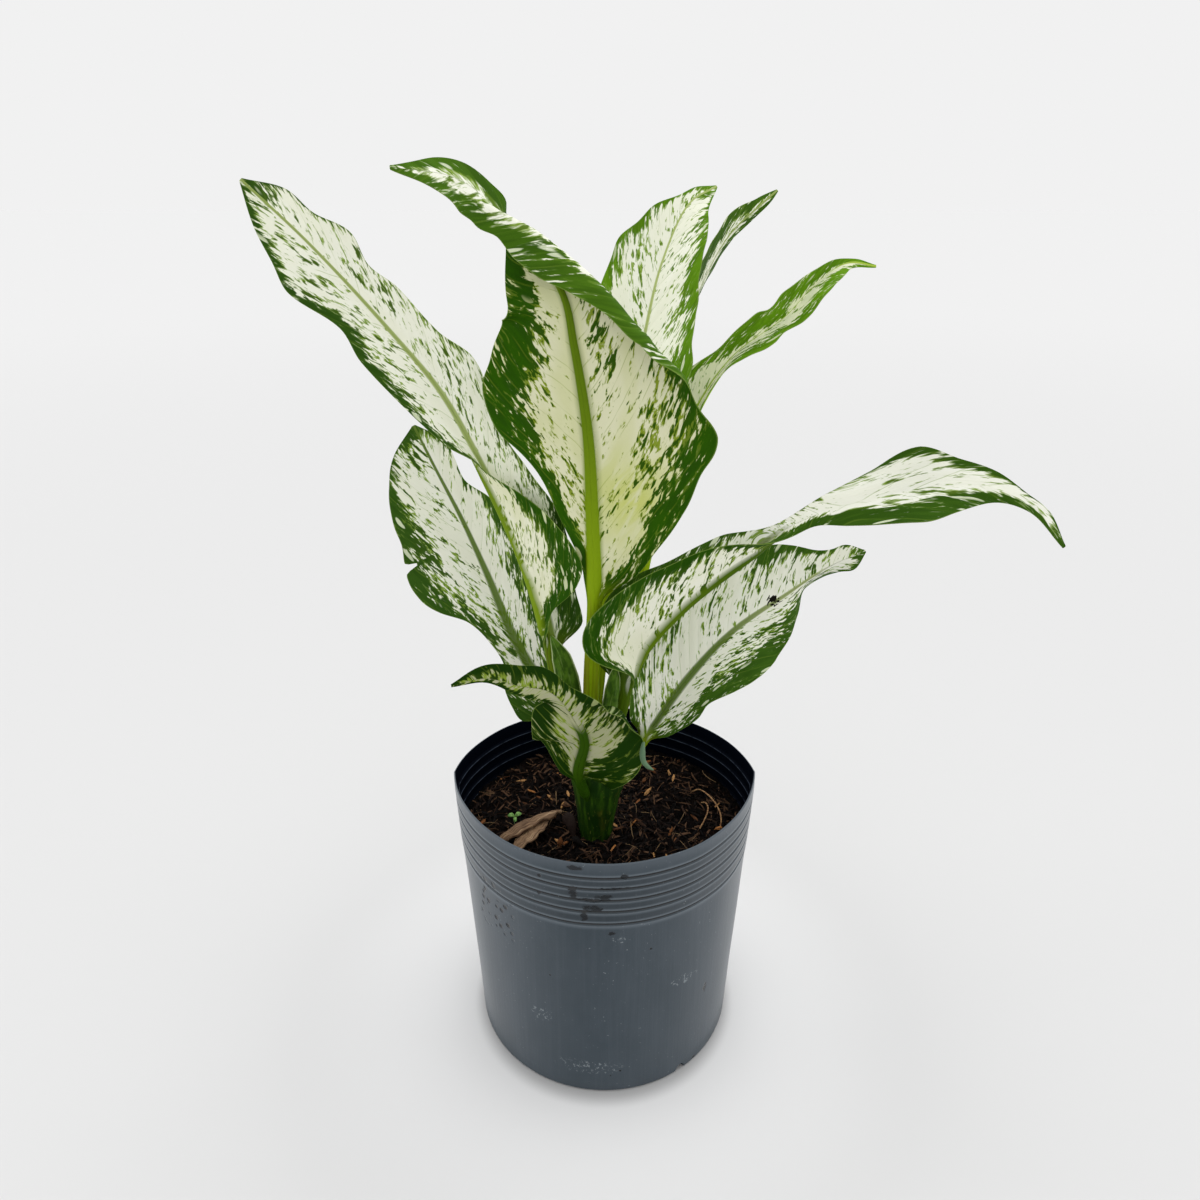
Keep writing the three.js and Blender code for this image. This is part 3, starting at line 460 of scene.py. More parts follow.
COLOURING = {
    "leaf_left_tall": dict(
        margins=([(0, 0.3), (0.2, 0.62), (0.38, 0.9), (0.55, 0.86), (0.75, 0.8), (0.9, 0.88), (1, 0.6)],
                 [(0, 0.15), (0.1, 0.4), (0.22, 0.75), (0.4, 1.06), (0.8, 1.08), (1, 0.95)]),
        flecks=0.16, slants=(2.0, 1.8), stretch=1.0, dark=0.35, glow=0, warm=0.5, rib=(0.0, 1.1),
        soft=0.45, through=0.12),
    "leaf_centre": dict(
        margins=([(0, 0.4), (0.15, 0.6), (0.28, 0.84), (0.42, 0.8), (0.52, 0.62), (0.66, 0.5),
                  (0.8, 0.5), (1, 0.4)],
                 [(0, 0.3), (0.1, 0.55), (0.2, 0.72), (0.35, 0.84), (0.5, 0.88), (0.6, 0.76),
                  (0.7, 0.62), (0.8, 0.55), (1, 0.4)]),
        flecks=0.19, slants=(1.25, 1.15), stretch=1.0, dark=0.0, glow=0.4, warm=1.0, rib=(0.0, 0.74),
        soft=0.1, fleck_size=1.35, through=0.05, tip_flecks=0.22, soft_tip=(0.7, 1.0),
        stain=((14, -47, 394), 34), clearing=((6, -58, 452), 34),
        fold_dark=((0.66, 0), (0.74, 0.45), (0.86, 0.45), (0.93, 0.1))),
    "leaf_lower_left": dict(
        margins=([(0, 0.0), (0.06, 0.15), (0.14, 0.7), (0.3, 0.86), (0.5, 0.8), (0.7, 0.88), (1, 0.95)],
                 [(0, 0.75), (0.4, 0.85), (0.8, 0.95), (1, 0.9)]),
        flecks=0.3, slants=(1.5, 1.5), stretch=0.9, dark=0.15, glow=0, warm=0.5, rib=(0.9, 1.1),
        soft=0.15, rib_wide=1.3, fleck_size=1.2, dim=0.16, tears=((0.63, 0.2),)),
    "leaf_upper_middle": dict(
        margins=([(0, 0.75), (0.5, 0.8), (1, 0.9)], [(0, 0.6), (0.5, 0.72), (1, 0.85)]),
        flecks=0.18, slants=(1.4, 1.6), stretch=0.9, dark=0.05, glow=0.9, warm=0.8, rib=(0.0, 1.1),
        soft=0.35, through=0.1, tip_flecks=0.1),
    "leaf_behind_right": dict(
        margins=([(0, 0.55), (1, 0.5)], [(0, 0.55), (1, 0.5)]),
        flecks=0.5, slants=(2.5, 2.5), stretch=0.9, dark=0.4, glow=0.3, warm=0.8, rib=(0.2, 1.1),
        soft=0.15, through=0.1),
    "leaf_upper_right": dict(
        margins=([(0, 0.95), (0.35, 0.85), (0.45, 0.3), (1, 0.2)], [(0, 0.8), (0.5, 0.65), (1, 0.4)]),
        flecks=0.2, slants=(1.8, 1.8), stretch=1.0, dark=0.05, glow=1.0, warm=0.9, rib=(0.0, 1.1),
        soft=0.15, through=0.35),
    "leaf_right_long": dict(
        margins=([(0, 0.0), (0.1, 0.15), (0.2, 0.8), (0.3, 0.85), (0.5, 1.1), (0.68, 1.0),
                  (0.78, 0.8), (1, 0.8)],
                 [(0, 0.6), (0.08, 0.75), (0.3, 0.86), (0.42, 0.88), (0.5, 0.34), (0.75, 0.34),
                  (1, 0.3)]),
        flecks=0.22, slants=(1.1, 1.3), stretch=1.0, dark=0.5, glow=0.2, warm=0.3, rib=(0.0, 0.5),
        soft=0.2, fleck_size=1.3, soft_tip=(0.48, 0.8), slant_tip=(0.45, 3.0)),
    "leaf_lower_right": dict(
        margins=([(0, 0.7), (0.12, 0.9), (0.5, 0.95), (0.75, 0.8), (1, 0.9)],
                 [(0, 0.75), (0.3, 0.72), (0.55, 0.66), (0.7, 0.7), (1, 0.9)]),
        flecks=(0.24, 0.32), slants=(0.85, 1.8), stretch=(0.6, 1.1), dark=0.15, glow=0.1, warm=0.4,
        rib=(0.35, 0.85), soft=0.1, dim=0.14, rot=((103.7, 12.8, 309.5), 8)),
    "leaf_front_small": dict(
        margins=([(0, 0.3), (0.2, 0.55), (0.35, 0.62), (0.5, 0.7), (1, 0.7)],
                 [(0, 0.1), (0.06, 0.15), (0.12, 0.4), (0.2, 0.66), (0.3, 0.88), (0.6, 0.85),
                  (1, 0.6)]),
        flecks=(0.42, 0.85), slants=(0.9, 0.35), stretch=0.6, dark=0.95, glow=0.1, warm=0.6,
        rib=(0.0, 0.36), soft=0.1, dim=0.75, fleck_size=1.1),
}
TEAR_WIDTH = 0.009
VEIN_CURVE = 0.3
WANDER = 0.08  # how far the margin's start strays
WANDER_WAVES = ((2.3, 0.37), (5.1, 0.2))  # waves along the blade, and how each leaf shifts them
MARGIN_BLUR = (-0.26, 0.34)  # where the margin starts to get dense, and in what share of the half
MARGIN_GREEN = 0.985
TIP_FLECKS_FROM = 0.72
GREEN_TIP = (0.9, 0.85)  # the last of the blade is this green
GRAIN_SPREAD = 0.057  # standard deviation of the noise that the flecks are cut from
UPPER_RIB_SHARE = 0.72
SEED_STEP = 7.3


def ease(t):
    """A smooth step from 0 to 1."""
    return t * t * (3 - 2 * t)


def mix(low, high, t):
    """What lies a share t of the way from low to high."""
    return low + (high - low) * t


def rise(t, start, length):
    """0 up to the start, 1 after the length, and smooth between them."""
    return ease(np.clip((t - start) / length, 0, 1))


def normal_quantile(share):
    """How many standard deviations a share of a normal spread lies above its middle, nearly."""
    return 4.91 * (share ** 0.14 - (1 - share) ** 0.14)


def nearness(places, middle, reach):
    """1 at the middle, and 0 from its reach on."""
    return np.clip(1 - np.linalg.norm(places - middle, axis=-1) / reach, 0, 1)


def smooth_route(corners, shares):
    """Places and directions at shares of the length of a centripetal curve through the corners."""
    corners = [np.array(corner, float) for corner in corners]
    corners = [2 * corners[0] - corners[1], *corners, 2 * corners[-1] - corners[-2]]
    dense = []
    for p0, p1, p2, p3 in zip(corners, corners[1:], corners[2:], corners[3:]):
        k1 = np.linalg.norm(p1 - p0) ** 0.5
        k2 = k1 + np.linalg.norm(p2 - p1) ** 0.5
        k3 = k2 + np.linalg.norm(p3 - p2) ** 0.5
        t = np.linspace(k1, k2, 60, endpoint=False)[:, None]
        a1 = mix(p0, p1, t / k1)
        a2 = mix(p1, p2, (t - k1) / (k2 - k1))
        a3 = mix(p2, p3, (t - k2) / (k3 - k2))
        b1 = mix(a1, a2, t / k2)
        b2 = mix(a2, a3, (t - k1) / (k3 - k1))
        dense.append(mix(b1, b2, (t - k1) / (k2 - k1)))
    dense = np.vstack([*dense, corners[-2][None]])
    lengths = np.concatenate([[0], np.cumsum(np.linalg.norm(np.diff(dense, axis=0), axis=1))])

    def at(share):
        return np.stack([np.interp(share * lengths[-1], lengths, dense[:, k]) for k in range(3)], 1)

    shares = np.asarray(shares)
    ahead = at(np.minimum(1, shares + 0.004)) - at(np.maximum(0, shares - 0.004))
    return at(shares), ahead / np.linalg.norm(ahead, axis=1)[:, None], lengths[-1]


def row_values(rows, shares):
    """The rows' values at shares of the blade, on smooth curves through them."""
    rows = np.array([(*row, *ROW_DEFAULTS[len(row):]) for row in rows], float)
    to = np.clip(np.searchsorted(rows[:, 0], shares, side="right"), 1, len(rows) - 1)
    before, after = rows[np.maximum(to - 2, 0)], rows[np.minimum(to + 1, len(rows) - 1)]
    start, end = rows[to - 1], rows[to]
    span = (end[:, 0] - start[:, 0])[:, None]
    t = np.clip((shares - start[:, 0])[:, None] / span, 0, 1)
    slope_in = (end - before) / (end - before)[:, :1] * span
    slope_out = (after - start) / (after - start)[:, :1] * span
    bend = t * (1 - t) * ((1 - t) * slope_in - t * slope_out)
    return mix(start, end, ease(t)) + bend


def bent(at_rib, at_margin, bend_from, bend_to, v):
    """How far along and how far forward a half section of width 1 has got to at share v of it."""
    a, b = np.radians(at_rib), np.radians(at_margin)
    straight = np.minimum(v, bend_from)
    arc = np.clip(v - bend_from, 0, bend_to - bend_from)
    after = np.maximum(v - bend_to, 0)
    turn = (b - a) / (bend_to - bend_from)
    turn = np.where(np.abs(turn) < 1e-4, 1e-4, turn)
    now = a + turn * arc
    along = straight * np.cos(a) + (np.sin(now) - np.sin(a)) / turn + after * np.cos(b)
    forward = straight * np.sin(a) + (np.cos(a) - np.cos(now)) / turn + after * np.sin(b)
    return along, forward


def edit_all(piece):
    """Opens the piece alone in edit mode, with all of it selected."""
    bpy.ops.object.select_all(action="DESELECT")
    piece.select_set(True)
    bpy.context.view_layer.objects.active = piece
    bpy.ops.object.mode_set(mode="EDIT")
    bpy.ops.mesh.select_all(action="SELECT")


def sheet_from_grid(name, columns, stations):
    """A flat grid, extruded to a closed sheet, with each point's column, station and face."""
    bpy.ops.object.select_all(action="DESELECT")
    bpy.ops.mesh.primitive_grid_add(x_subdivisions=columns, y_subdivisions=stations, size=2)
    piece = bpy.context.object
    piece.name = name
    edit_all(piece)
    bpy.ops.mesh.extrude_region_move(TRANSFORM_OT_translate={"value": (0, 0, -1)})
    bpy.ops.object.mode_set(mode="OBJECT")
    places = np.zeros(len(piece.data.vertices) * 3)
    piece.data.vertices.foreach_get("co", places)
    places = places.reshape(-1, 3)
    column = np.rint((places[:, 0] + 1) / 2 * columns).astype(int)
    station = np.rint((places[:, 1] + 1) / 2 * stations).astype(int)
    return piece, column, station, places[:, 2] < -0.5


def give_points(piece, places):
    """Lays the piece's points at the places, in metres."""
    piece.data.vertices.foreach_set("co", places.ravel())
    piece.data.update()


def give_attribute(piece, name, *columns):
    """Gives each point of the piece three values for its surface to read."""
    layer = piece.data.attributes.new(name, "FLOAT_VECTOR", "POINT")
    layer.data.foreach_set("vector", np.stack(columns, 1).ravel().astype(np.float32))


def close_up(piece, angle=50):
    """Turns the faces outward and smooths them, apart from edges sharper than the angle."""
    edit_all(piece)
    bpy.ops.mesh.normals_make_consistent(inside=False)
    bpy.ops.object.mode_set(mode="OBJECT")
    bpy.ops.object.shade_smooth_by_angle(angle=math.radians(angle))


def by_half(side, values):
    """One value for both halves of a blade, or the left and the right one."""
    return np.where(side < 0, *np.broadcast_to(values, 2))


def green_share_of(look, number, t, side, v, place):
    """How much of the skin is green around each point."""
    margin = [np.interp(t[:, 0], *zip(*rows))[:, None] for rows in look["margins"]]
    slow, quick = (np.sin(2 * math.pi * (count * t + shift * number)) for count, shift in WANDER_WAVES)
    margin = np.where(side < 0, *margin) + WANDER * slow * quick * side
    strewn = by_half(side, look["flecks"]) * (0.4 + 1.2 * v ** 1.5)
    strewn = strewn + look["tip_flecks"] * rise(t, TIP_FLECKS_FROM, 0.1)
    lead, blur = MARGIN_BLUR
    green = mix(strewn, MARGIN_GREEN, rise(v, margin + lead, blur))
    tip_from, tip_green = GREEN_TIP
    green = np.maximum(green, rise(t, tip_from, 1 - tip_from) * tip_green)
    return np.clip(green * (1 - ease(nearness(place, *look["clearing"])) * 0.9), 0.01, 0.99)


def place_on_veins(look, t, side, v, distance, along):
    """How far along the route the point's lateral vein starts, and how far out the point is on it."""
    slant_from, slant_tip = look["slant_tip"]
    slant = mix(by_half(side, look["slants"]), slant_tip, rise(t, slant_from, 0.2))
    lay = np.sin(np.arctan2(1, slant))
    start = (along - distance * (slant + VEIN_CURVE * v)) * lay
    return start, side * distance / lay * by_half(side, look["stretch"])


def lay_leaf(name, leaf, number):
    """Models one leaf, and gives its points what leaf_skin reads."""
    look = {**PLAIN, **COLOURING[name]}
    columns = 2 * HALF_COLUMNS
    stem_shares = np.linspace(0, leaf["blade"], STEM_STATIONS, endpoint=False)
    shares = np.concatenate([stem_shares, np.linspace(leaf["blade"], 1, BLADE_STATIONS + 1)])
    piece, column, station, behind = sheet_from_grid("blade_" + name[5:], columns, len(shares) - 1)
    starts, ahead, length = smooth_route(leaf["route"], shares)
    sideways = np.cross(ahead, FRONT)
    sideways /= np.linalg.norm(sideways, axis=1)[:, None]
    forward = np.cross(sideways, ahead)

    # The section at each station: a round stem that turns into two bent halves.
    shares = shares[:, None]
    t = np.clip((shares - leaf["blade"]) / (1 - leaf["blade"]), 0, 1)
    stem = mix(leaf["stem"], RIB_TIP, ease(shares)) * mix(FOOT_SHARE, 1, rise(shares, 0, FOOT_LENGTH))
    bladeness = rise(t, 0, BLADE_ROOT)
    even = np.linspace(-1, 1, columns + 1)[None]
    side = np.sign(even)
    rows = [row_values(leaf[half], t[:, 0])[:, None] for half in ("left", "right")]
    values = np.where(side[..., None] < 0, *rows)
    _, half, at_rib, at_margin, bend_from, bend_to, lean = np.moveaxis(values, 2, 0)
    for torn_at, depth in look["tears"]:
        half = half * (1 - depth * (side < 0) * np.exp(-((t - torn_at) / TEAR_WIDTH) ** 2))
    rib_width = RIB_REACH * stem * look["rib_wide"]
    rib_share = np.minimum(RIB_MOST, rib_width / half)
    inner = np.abs(even) * HALF_COLUMNS / RIB_COLUMNS
    outer = (np.abs(even) * HALF_COLUMNS - RIB_COLUMNS) / (HALF_COLUMNS - RIB_COLUMNS)
    v = np.where(inner < 1, inner * rib_share, mix(rib_share, 1, outer))
    along, out = bent(at_rib, at_margin, bend_from, bend_to, v)
    flat = np.stack([side * half * along, half * out, half * v * lean], 2)
    round_side = stem * np.sin(even * STEM_ROUND)
    middle = mix(np.stack([round_side, 0 * round_side, 0 * round_side], 2), flat, bladeness[..., None])
    place = starts[:, None] + middle @ np.stack([sideways, forward, ahead], 1)

    # The two faces, to either side of it, with waves and the midrib.
    normal = np.cross(np.gradient(place, axis=1), np.gradient(place, axis=0))
    normal /= np.maximum(np.linalg.norm(normal, axis=2), 1e-9)[..., None]
    size, count, phase = leaf["wave"]
    wave = size * half * v * v * np.sin(2 * math.pi * count * t + phase + side)
    ruffle = RUFFLE_SIZE * half * v ** 4 * np.sin(2 * math.pi * RUFFLE_COUNT * t + 2.1 * side + number)
    ripple = (wave + ruffle) * bladeness
    distance = v * half
    rib_green, rib_end = look["rib"]
    rib_shown = 1 - rise(t, rib_end - RIB_FADE / 2, RIB_FADE)
    rib = np.sqrt(np.clip(1 - (distance / rib_width) ** 2, 0, 1)) * rib_shown
    skin = mix(SKIN_MIDDLE, SKIN_EDGE, v) / 2
    faces = []
    for face in (1, -1):
        proud = UPPER_RIB_RISE if face == leaf["upper"] else 1
        thick = mix(stem * np.cos(even * STEM_ROUND), skin + stem * rib * proud, bladeness)
        faces.append(place + normal * (ripple + face * thick)[..., None])
    pick = (station, column)
    chosen = np.where(behind[:, None], faces[1][pick], faces[0][pick])
    give_points(piece, chosen * MM)

    # What the surface reads at each point.
    points = len(column)
    under = behind if leaf["upper"] > 0 else ~behind
    green = green_share_of(look, number, t, side, v, place)
    cover = 0.5 - GRAIN_SPREAD * normal_quantile(green)
    start, out_on_vein = place_on_veins(look, t, side, v, distance, length * shares)
    scale = MM / look["fleck_size"]
    rib_reach = np.broadcast_to(rib_width, distance.shape)[pick] * np.where(under, 1, UPPER_RIB_SHARE)
    rib_mask = np.clip((1.1 - distance[pick] / rib_reach) * 4, 0, 1)
    rib_mask = rib_mask * np.clip(rib_shown[station, 0] * 2.4 - 0.7, 0, 1)
    t = t[station, 0]
    # own tone and painted shade, with painted shade added where the blade folds over
    dark = look["dark"] + np.interp(t, *zip(*look["fold_dark"]))
    soft_from, soft_tip = look["soft_tip"]
    soft = mix(look["soft"], soft_tip, rise(t, soft_from, 0.1))
    rot, stain = (nearness(chosen, *look[spot]) for spot in ("rot", "stain"))
    for attribute, *readings in (
            ("vein", start[pick] * scale, out_on_vein[pick] * scale, number * SEED_STEP),
            ("cover", cover[pick], under, np.where(under, 1, 0.96) * rib_mask),
            ("part", v[pick], t, bladeness[station, 0]),
            ("tone", dark, look["glow"], green[pick]),
            ("wash", soft, stain, look["dim"]),
            ("flaw", rot, look["warm"], rib_green),
            ("light", look["through"], 0, 0)):
        give_attribute(piece, attribute, *(np.broadcast_to(reading, points) for reading in readings))
    close_up(piece)
    piece.data.materials.append(leaf_skin.material)
    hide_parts(name)
    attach(piece, "root")
    "leaf_upper" if leaf["upper"] > 0 else "leaf_under"


for number, (name, leaf) in enumerate(LEAVES.items()):
    lay_leaf(name, leaf, number)


# Pot: one thin wall of soft plastic, round at its base and pressed oval at its rim, with five
# grooves pressed in below the rim and a drain notch through the edge of its base at three places.
# It is drawn up ring by ring from a round face, and each ring is then laid on the pot's outline.
POT_HEIGHT = 188
RIM_HALF_WIDTH = 99.5
RIM_HALF_DEPTH = 86
CREASE_RISE = 3
BASE_RADIUS = 88.5
BASE_EDGE = 1.8
BASE_RINGS = (60, 82)  # radii of the rings that the outer base is drawn through
FLOOR_RING = 30  # radius of the last ring, on the floor inside
WALL_RINGS = (12, 136, 12)  # lowest and highest ring below the grooves, and how many
WALL = 1.3
POT_FLOOR = 2
SAG = 0.5
LIP = 1.2
GROOVE_DROPS = (10.5, 18.5, 27, 35.5, 45)
GROOVE_SHAPE = ((-1.3, -0.2), (-0.7, 0.6), (0, 1), (0.7, 0.6), (1.2, -0.25))  # height, depth share
GROOVE_DEPTH = 1.2
BAND_RISE = 4
BAND_BULGE = -0.3
POT_SIDES = 180
ROUND = 90  # radius at which the pot is drawn up, before it is laid on its outline
DRAIN_RADIUS = 4
DRAIN_LENGTH = 14
DRAIN_ANGLES = (-55, 65, 185)


def pot_radius(angle, share):
    """Distance of the pot's outer face from its axis, in millimetres."""
    arc = math.hypot(RIM_HALF_WIDTH, RIM_HALF_DEPTH) ** 2 / (2 * RIM_HALF_DEPTH)
    shift = arc - RIM_HALF_DEPTH
    rim = math.sqrt(arc ** 2 - (shift * math.cos(angle)) ** 2) - shift * abs(math.sin(angle))
    return mix(BASE_RADIUS, rim, share)


def draw_up(name, sides, rings):
    """A closed body from a round face that is extruded through rings of (height, radius)."""
    bpy.ops.object.select_all(action="DESELECT")
    (height, radius), *others = rings
    bpy.ops.mesh.primitive_circle_add(
        vertices=sides, radius=radius * MM, fill_type="NGON", location=(0, 0, height * MM))
    piece = bpy.context.object
    piece.name = name
    bpy.ops.object.transform_apply(location=True)
    edit_all(piece)
    for next_height, next_radius in others:
        upward = (0, 0, (next_height - height) * MM)
        bpy.ops.mesh.extrude_region_move(TRANSFORM_OT_translate={"value": upward})
        grow = next_radius / radius
        bpy.ops.transform.resize(value=(grow, grow, 1), center_override=(0, 0, 0))
        height, radius = next_height, next_radius
    bpy.ops.object.mode_set(mode="OBJECT")
    return piece


# Rows of [height, inset from ROUND, depth in a groove], up the outside and down the inside.
grooved = []
for drop in reversed(GROOVE_DROPS):
    grooved += [(POT_HEIGHT - drop + step, depth * GROOVE_DEPTH, depth) for step, depth in GROOVE_SHAPE]
    grooved.append((POT_HEIGHT - drop + BAND_RISE, BAND_BULGE, 0))
base_edge = [(BASE_EDGE * (1 - math.cos(a)), BASE_EDGE * (1 - math.sin(a)), 0)
             for a in np.linspace(0, math.pi / 2, 5)]
wall = [(height, 0, 0) for height in np.linspace(*WALL_RINGS)]
rim = [(POT_HEIGHT + LIP * (math.sin(a) - 1), WALL / 2 * (1 - math.cos(a)), 0)
       for a in np.linspace(-0.4, math.pi - 0.3, 8)]
outer_rows = [*((0, ROUND - radius, 0) for radius in BASE_RINGS), *base_edge, *wall, *grooved]
inner_rows = [(height, inset + WALL, groove) for height, inset, groove in reversed([*wall, *grooved])]
inner_floor = [(POT_FLOOR, WALL + 2, 0), (POT_FLOOR, ROUND - FLOOR_RING, 0)]
pot_rows = [*outer_rows, *rim, *inner_rows, *inner_floor]
pot_shell = draw_up("pot_shell", POT_SIDES, [(height, ROUND - inset) for height, inset, _ in pot_rows])
for degrees in DRAIN_ANGLES:
    angle = math.radians(degrees)
    corner = Vector((math.cos(angle), math.sin(angle), 0)) * ROUND * MM
    bpy.ops.object.select_all(action="DESELECT")
    bpy.ops.mesh.primitive_cylinder_add(
        vertices=20, radius=DRAIN_RADIUS * MM, depth=DRAIN_LENGTH * MM, location=corner,
        rotation=(0, math.radians(135), angle))
    cutter = bpy.context.object
    notch = pot_shell.modifiers.new("notch", "BOOLEAN")
    notch.operation = "DIFFERENCE"
    notch.object = cutter
    bpy.context.view_layer.objects.active = pot_shell
    bpy.ops.object.modifier_apply(modifier="notch")
    bpy.data.objects.remove(cutter)
row_marks = []
for row, (height, inset, groove) in enumerate(pot_rows):
    inside = row > len(outer_rows) + len(rim) // 2
    at_rim = len(outer_rows) <= row < len(outer_rows) + len(rim)
    row_marks.append((height, ROUND - inset, groove, inside, at_rim))
row_marks = np.array(row_marks, float)
pot_marks = []
for vertex in pot_shell.data.vertices:
    x, y, height = vertex.co / MM
    radius, angle = math.hypot(x, y), math.atan2(y, x)
    nearest = np.abs(row_marks[:, :2] - (height, radius)).sum(1).argmin()
    pot_marks.append(row_marks[nearest, 2:])
    share = height / POT_HEIGHT
    sag = SAG * noise.noise(Vector((3 * math.cos(angle), 3 * math.sin(angle), height / 60)))
    scale = (pot_radius(angle, share) + sag * min(1, 4 * share) - (ROUND - radius)) / radius
    crease = CREASE_RISE * math.cos(angle) ** 4 * share ** 3
    vertex.co = Vector((x * scale, y * scale, height + crease)) * MM
give_attribute(pot_shell, "marks", *np.array(pot_marks).T)
close_up(pot_shell, angle=35)

SLATE = paint("#36424b")
SLATE_PALE = paint("#4b555e")
SLATE_EDGE_HIGHLIGHT = paint("#6a757e")
SLATE_DEEP = paint("#0a0e12")
SCUFF = paint("#9aa3a8")
INSIDE = paint("#010510")
INSIDE_RIDGE_HIGHLIGHT = paint("#434c5a")
DENTS_AT = (-68 * MM, 130 * MM)  # a field of small dents: across and up, half width and half height
DENTS_REACH = (13 * MM, 23 * MM)
# Dark smears and pale scuffs on the front of the pot: across, up, half width and half height.
SMEARS = (
    (-18, 184.6, 5, 1.8), (-19.1, 166.5, 2.6, 5.4), (-7.1, 161.6, 11.7, 1.6), (-1, 163.5, 5.5, 2.6),
    (-7.1, 155, 5.8, 2.8), (-12.4, 148.5, 2.3, 3.9), (10.9, 178.6, 2.3, 1.9), (4.6, 170.3, 8.7, 1.3),
    (-38.8, 173.7, 1.2, 1.3), (-39.2, 160.4, 1.3, 1.4), (3.9, 135.9, 2.7, 1.5), (65.7, 63, 1.2, 4),
    (60.5, 3, 1.4, 1.4), (10, 19, 1, 1), (-34, 96, 0.9, 0.9), (28, 120, 0.8, 0.8))
SCUFFS = ((9, 130.3, 6, 3.4), (-9.6, 124, 2, 2), (50, 84, 9, 4), (-40, 60, 8, 5), (-10, 22, 20, 6))
pot_skin = Surface("pot_skin", Specular_IOR_Level=0.55)
groove, _, at_rim = pot_skin.attribute("marks").axes()
place = pot_skin.place()
x, y, z = place.axes()
front = 1 - y.step(-60 * MM, -40 * MM)
streaks = place.times(560, 560, 9).noise(1, 3, 0.6)
clouds = place.times(26, 26, 16).noise(1, 4, 0.6)
fine = place.noise(900, 2, 0.6)
dust = place.noise(520, 2, 0.75)
dent_zone = 1 - y.step(-20 * MM, 0)
for across_pot, middle, reach in zip((x, z), DENTS_AT, DENTS_REACH):
    dent_zone = dent_zone * (1 - ((across_pot - middle) / reach).size().step(0.6, 1))
dents = (1 - place.cells(200).step(0.22, 0.4)) * dent_zone * place.noise(60, 1, 0.5).step(0.38, 0.46)
pits = (1 - place.cells(75).step(0.03, 0.05)) * place.noise(40, 1, 0.5).step(0.6, 0.64)


def patches(rows, ragged):
    """Ragged round patches on the front of the pot, one for each row."""
    mask = front * 0
    for across, up, half_width, half_height in rows:
        beside = (x - across * MM) / (half_width * MM)
        over = (z - up * MM) / (half_height * MM)
        mask = mask.most(1 - (beside * beside + over * over + ragged).step(0.3, 1.3))
    return mask * front


ragged = (place.times(200, 200, 330).noise(1, 3, 0.65) - 0.5) * 3.6
smears = patches(SMEARS, ragged)
scuffs = patches(SCUFFS, ragged) * dust.step(0.56, 0.62)
between_grooves = z.step(141 * MM, 144 * MM) * (1 - z.step(178 * MM, 180 * MM))
slate = layered(
    SLATE,
    (clouds.step(0.3, 0.72) * 0.4 + streaks.step(0.42, 0.75) * 0.22, SLATE_PALE),
    (between_grooves * 0.3, SLATE_DEEP),
    # painted highlight on the raised edges beside each groove, and painted shade inside the grooves
    ((0 - groove).step(0.08, 0.2) * 0.6, SLATE_EDGE_HIGHLIGHT),
    (groove.step(0.3, 0.7) * 0.95, SLATE_DEEP),
    # painted highlight along the rounded rim
    (at_rim * 0.8, SLATE_PALE),
    # painted shade in the hollows of the dents, with the dark of the pits and smears
    ((dents * 0.9).most(pits).most(smears * 0.85), SLATE_DEEP),
    ((dust.step(0.69, 0.75) * clouds.step(0.4, 0.6) * 0.7).most(scuffs * 0.55), SCUFF),
)
pot_relief = streaks * 0.16 + fine * 0.12 + clouds * 0.5 - dents * 2.4 - pits - smears * 0.3
pot_skin.finish(
    Base_Color=slate,
    Roughness=0.32 + clouds * 0.08 + streaks * 0.05 - smears * 0.12,
    Normal=pot_skin.bump(pot_relief, 0.5 * MM),
)
# The lining is nearly black: partly the plastic's own colour and partly painted shade inside the pot.
pot_lining = Surface("pot_lining", Specular_IOR_Level=0.03, Roughness=0.7)
groove, _, _ = pot_lining.attribute("marks").axes()
lining_noise = pot_lining.place().noise(160, 3, 0.6)
# painted highlight along the ridges inside, broken up by noise
lining = (groove.step(0.7, 0.95) * lining_noise.step(0.25, 0.6)).mix(INSIDE, INSIDE_RIDGE_HIGHLIGHT)
pot_lining.finish(Base_Color=lining, Normal=pot_lining.bump(lining_noise, 0.2 * MM))
pot_shell.data.materials.append(pot_skin.material)
pot_shell.data.materials.append(pot_lining.material)
inside_points = [data.vector[1] > 0.5 for data in pot_shell.data.attributes["marks"].data]
for face in pot_shell.data.polygons:
    face.material_index = int(all(inside_points[corner] for corner in face.vertices))
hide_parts("pot")
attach(pot_shell, "root")


# Soil: a moist mix of dark peat, shreds of bark, coir and rice hulls. Its bed is a square grid
# that is rounded to the pot, raised in crumbs and closed below.
SOIL_LEVEL = 155
SOIL_CELLS = 170
SOIL_INSET = 2.6
SOIL_FOOT = 2.4
FOOT_INSET = 4.6


def soil_height(x, y):
    """Height of the soil, in millimetres: slow swells with crumbs on them."""
    swell = math.sin(x / 17 + 1) * math.cos(y / 14) + 0.6 * math.sin((x + y) / 9)
    place = Vector((x, y, 0))
    lumps = 1.6 * noise.fractal(place / 9, 1.0, 2.0, 3)
    crumbs = 1.5 * noise.noise(place / 2.6) + 0.9 * noise.noise(place / 1.3)
    return SOIL_LEVEL + swell + lumps + crumbs


soil_bed, column, station, below = sheet_from_grid("soil_bed", SOIL_CELLS, SOIL_CELLS)
soil_places = []
for i, j, is_below in zip(column, station, below):
    u, v = 2 * i / SOIL_CELLS - 1, 2 * j / SOIL_CELLS - 1
    x, y = u * math.sqrt(1 - v * v / 2), v * math.sqrt(1 - u * u / 2)
    angle = math.atan2(y, x)
    level, inset = (SOIL_FOOT, FOOT_INSET) if is_below else (SOIL_LEVEL, SOIL_INSET)
    reach = pot_radius(angle, level / POT_HEIGHT) - inset
    x, y = x * reach, y * reach
    soil_places.append((x, y, SOIL_FOOT if is_below else soil_height(x, y)))
give_points(soil_bed, np.array(soil_places) * MM)
close_up(soil_bed, angle=60)

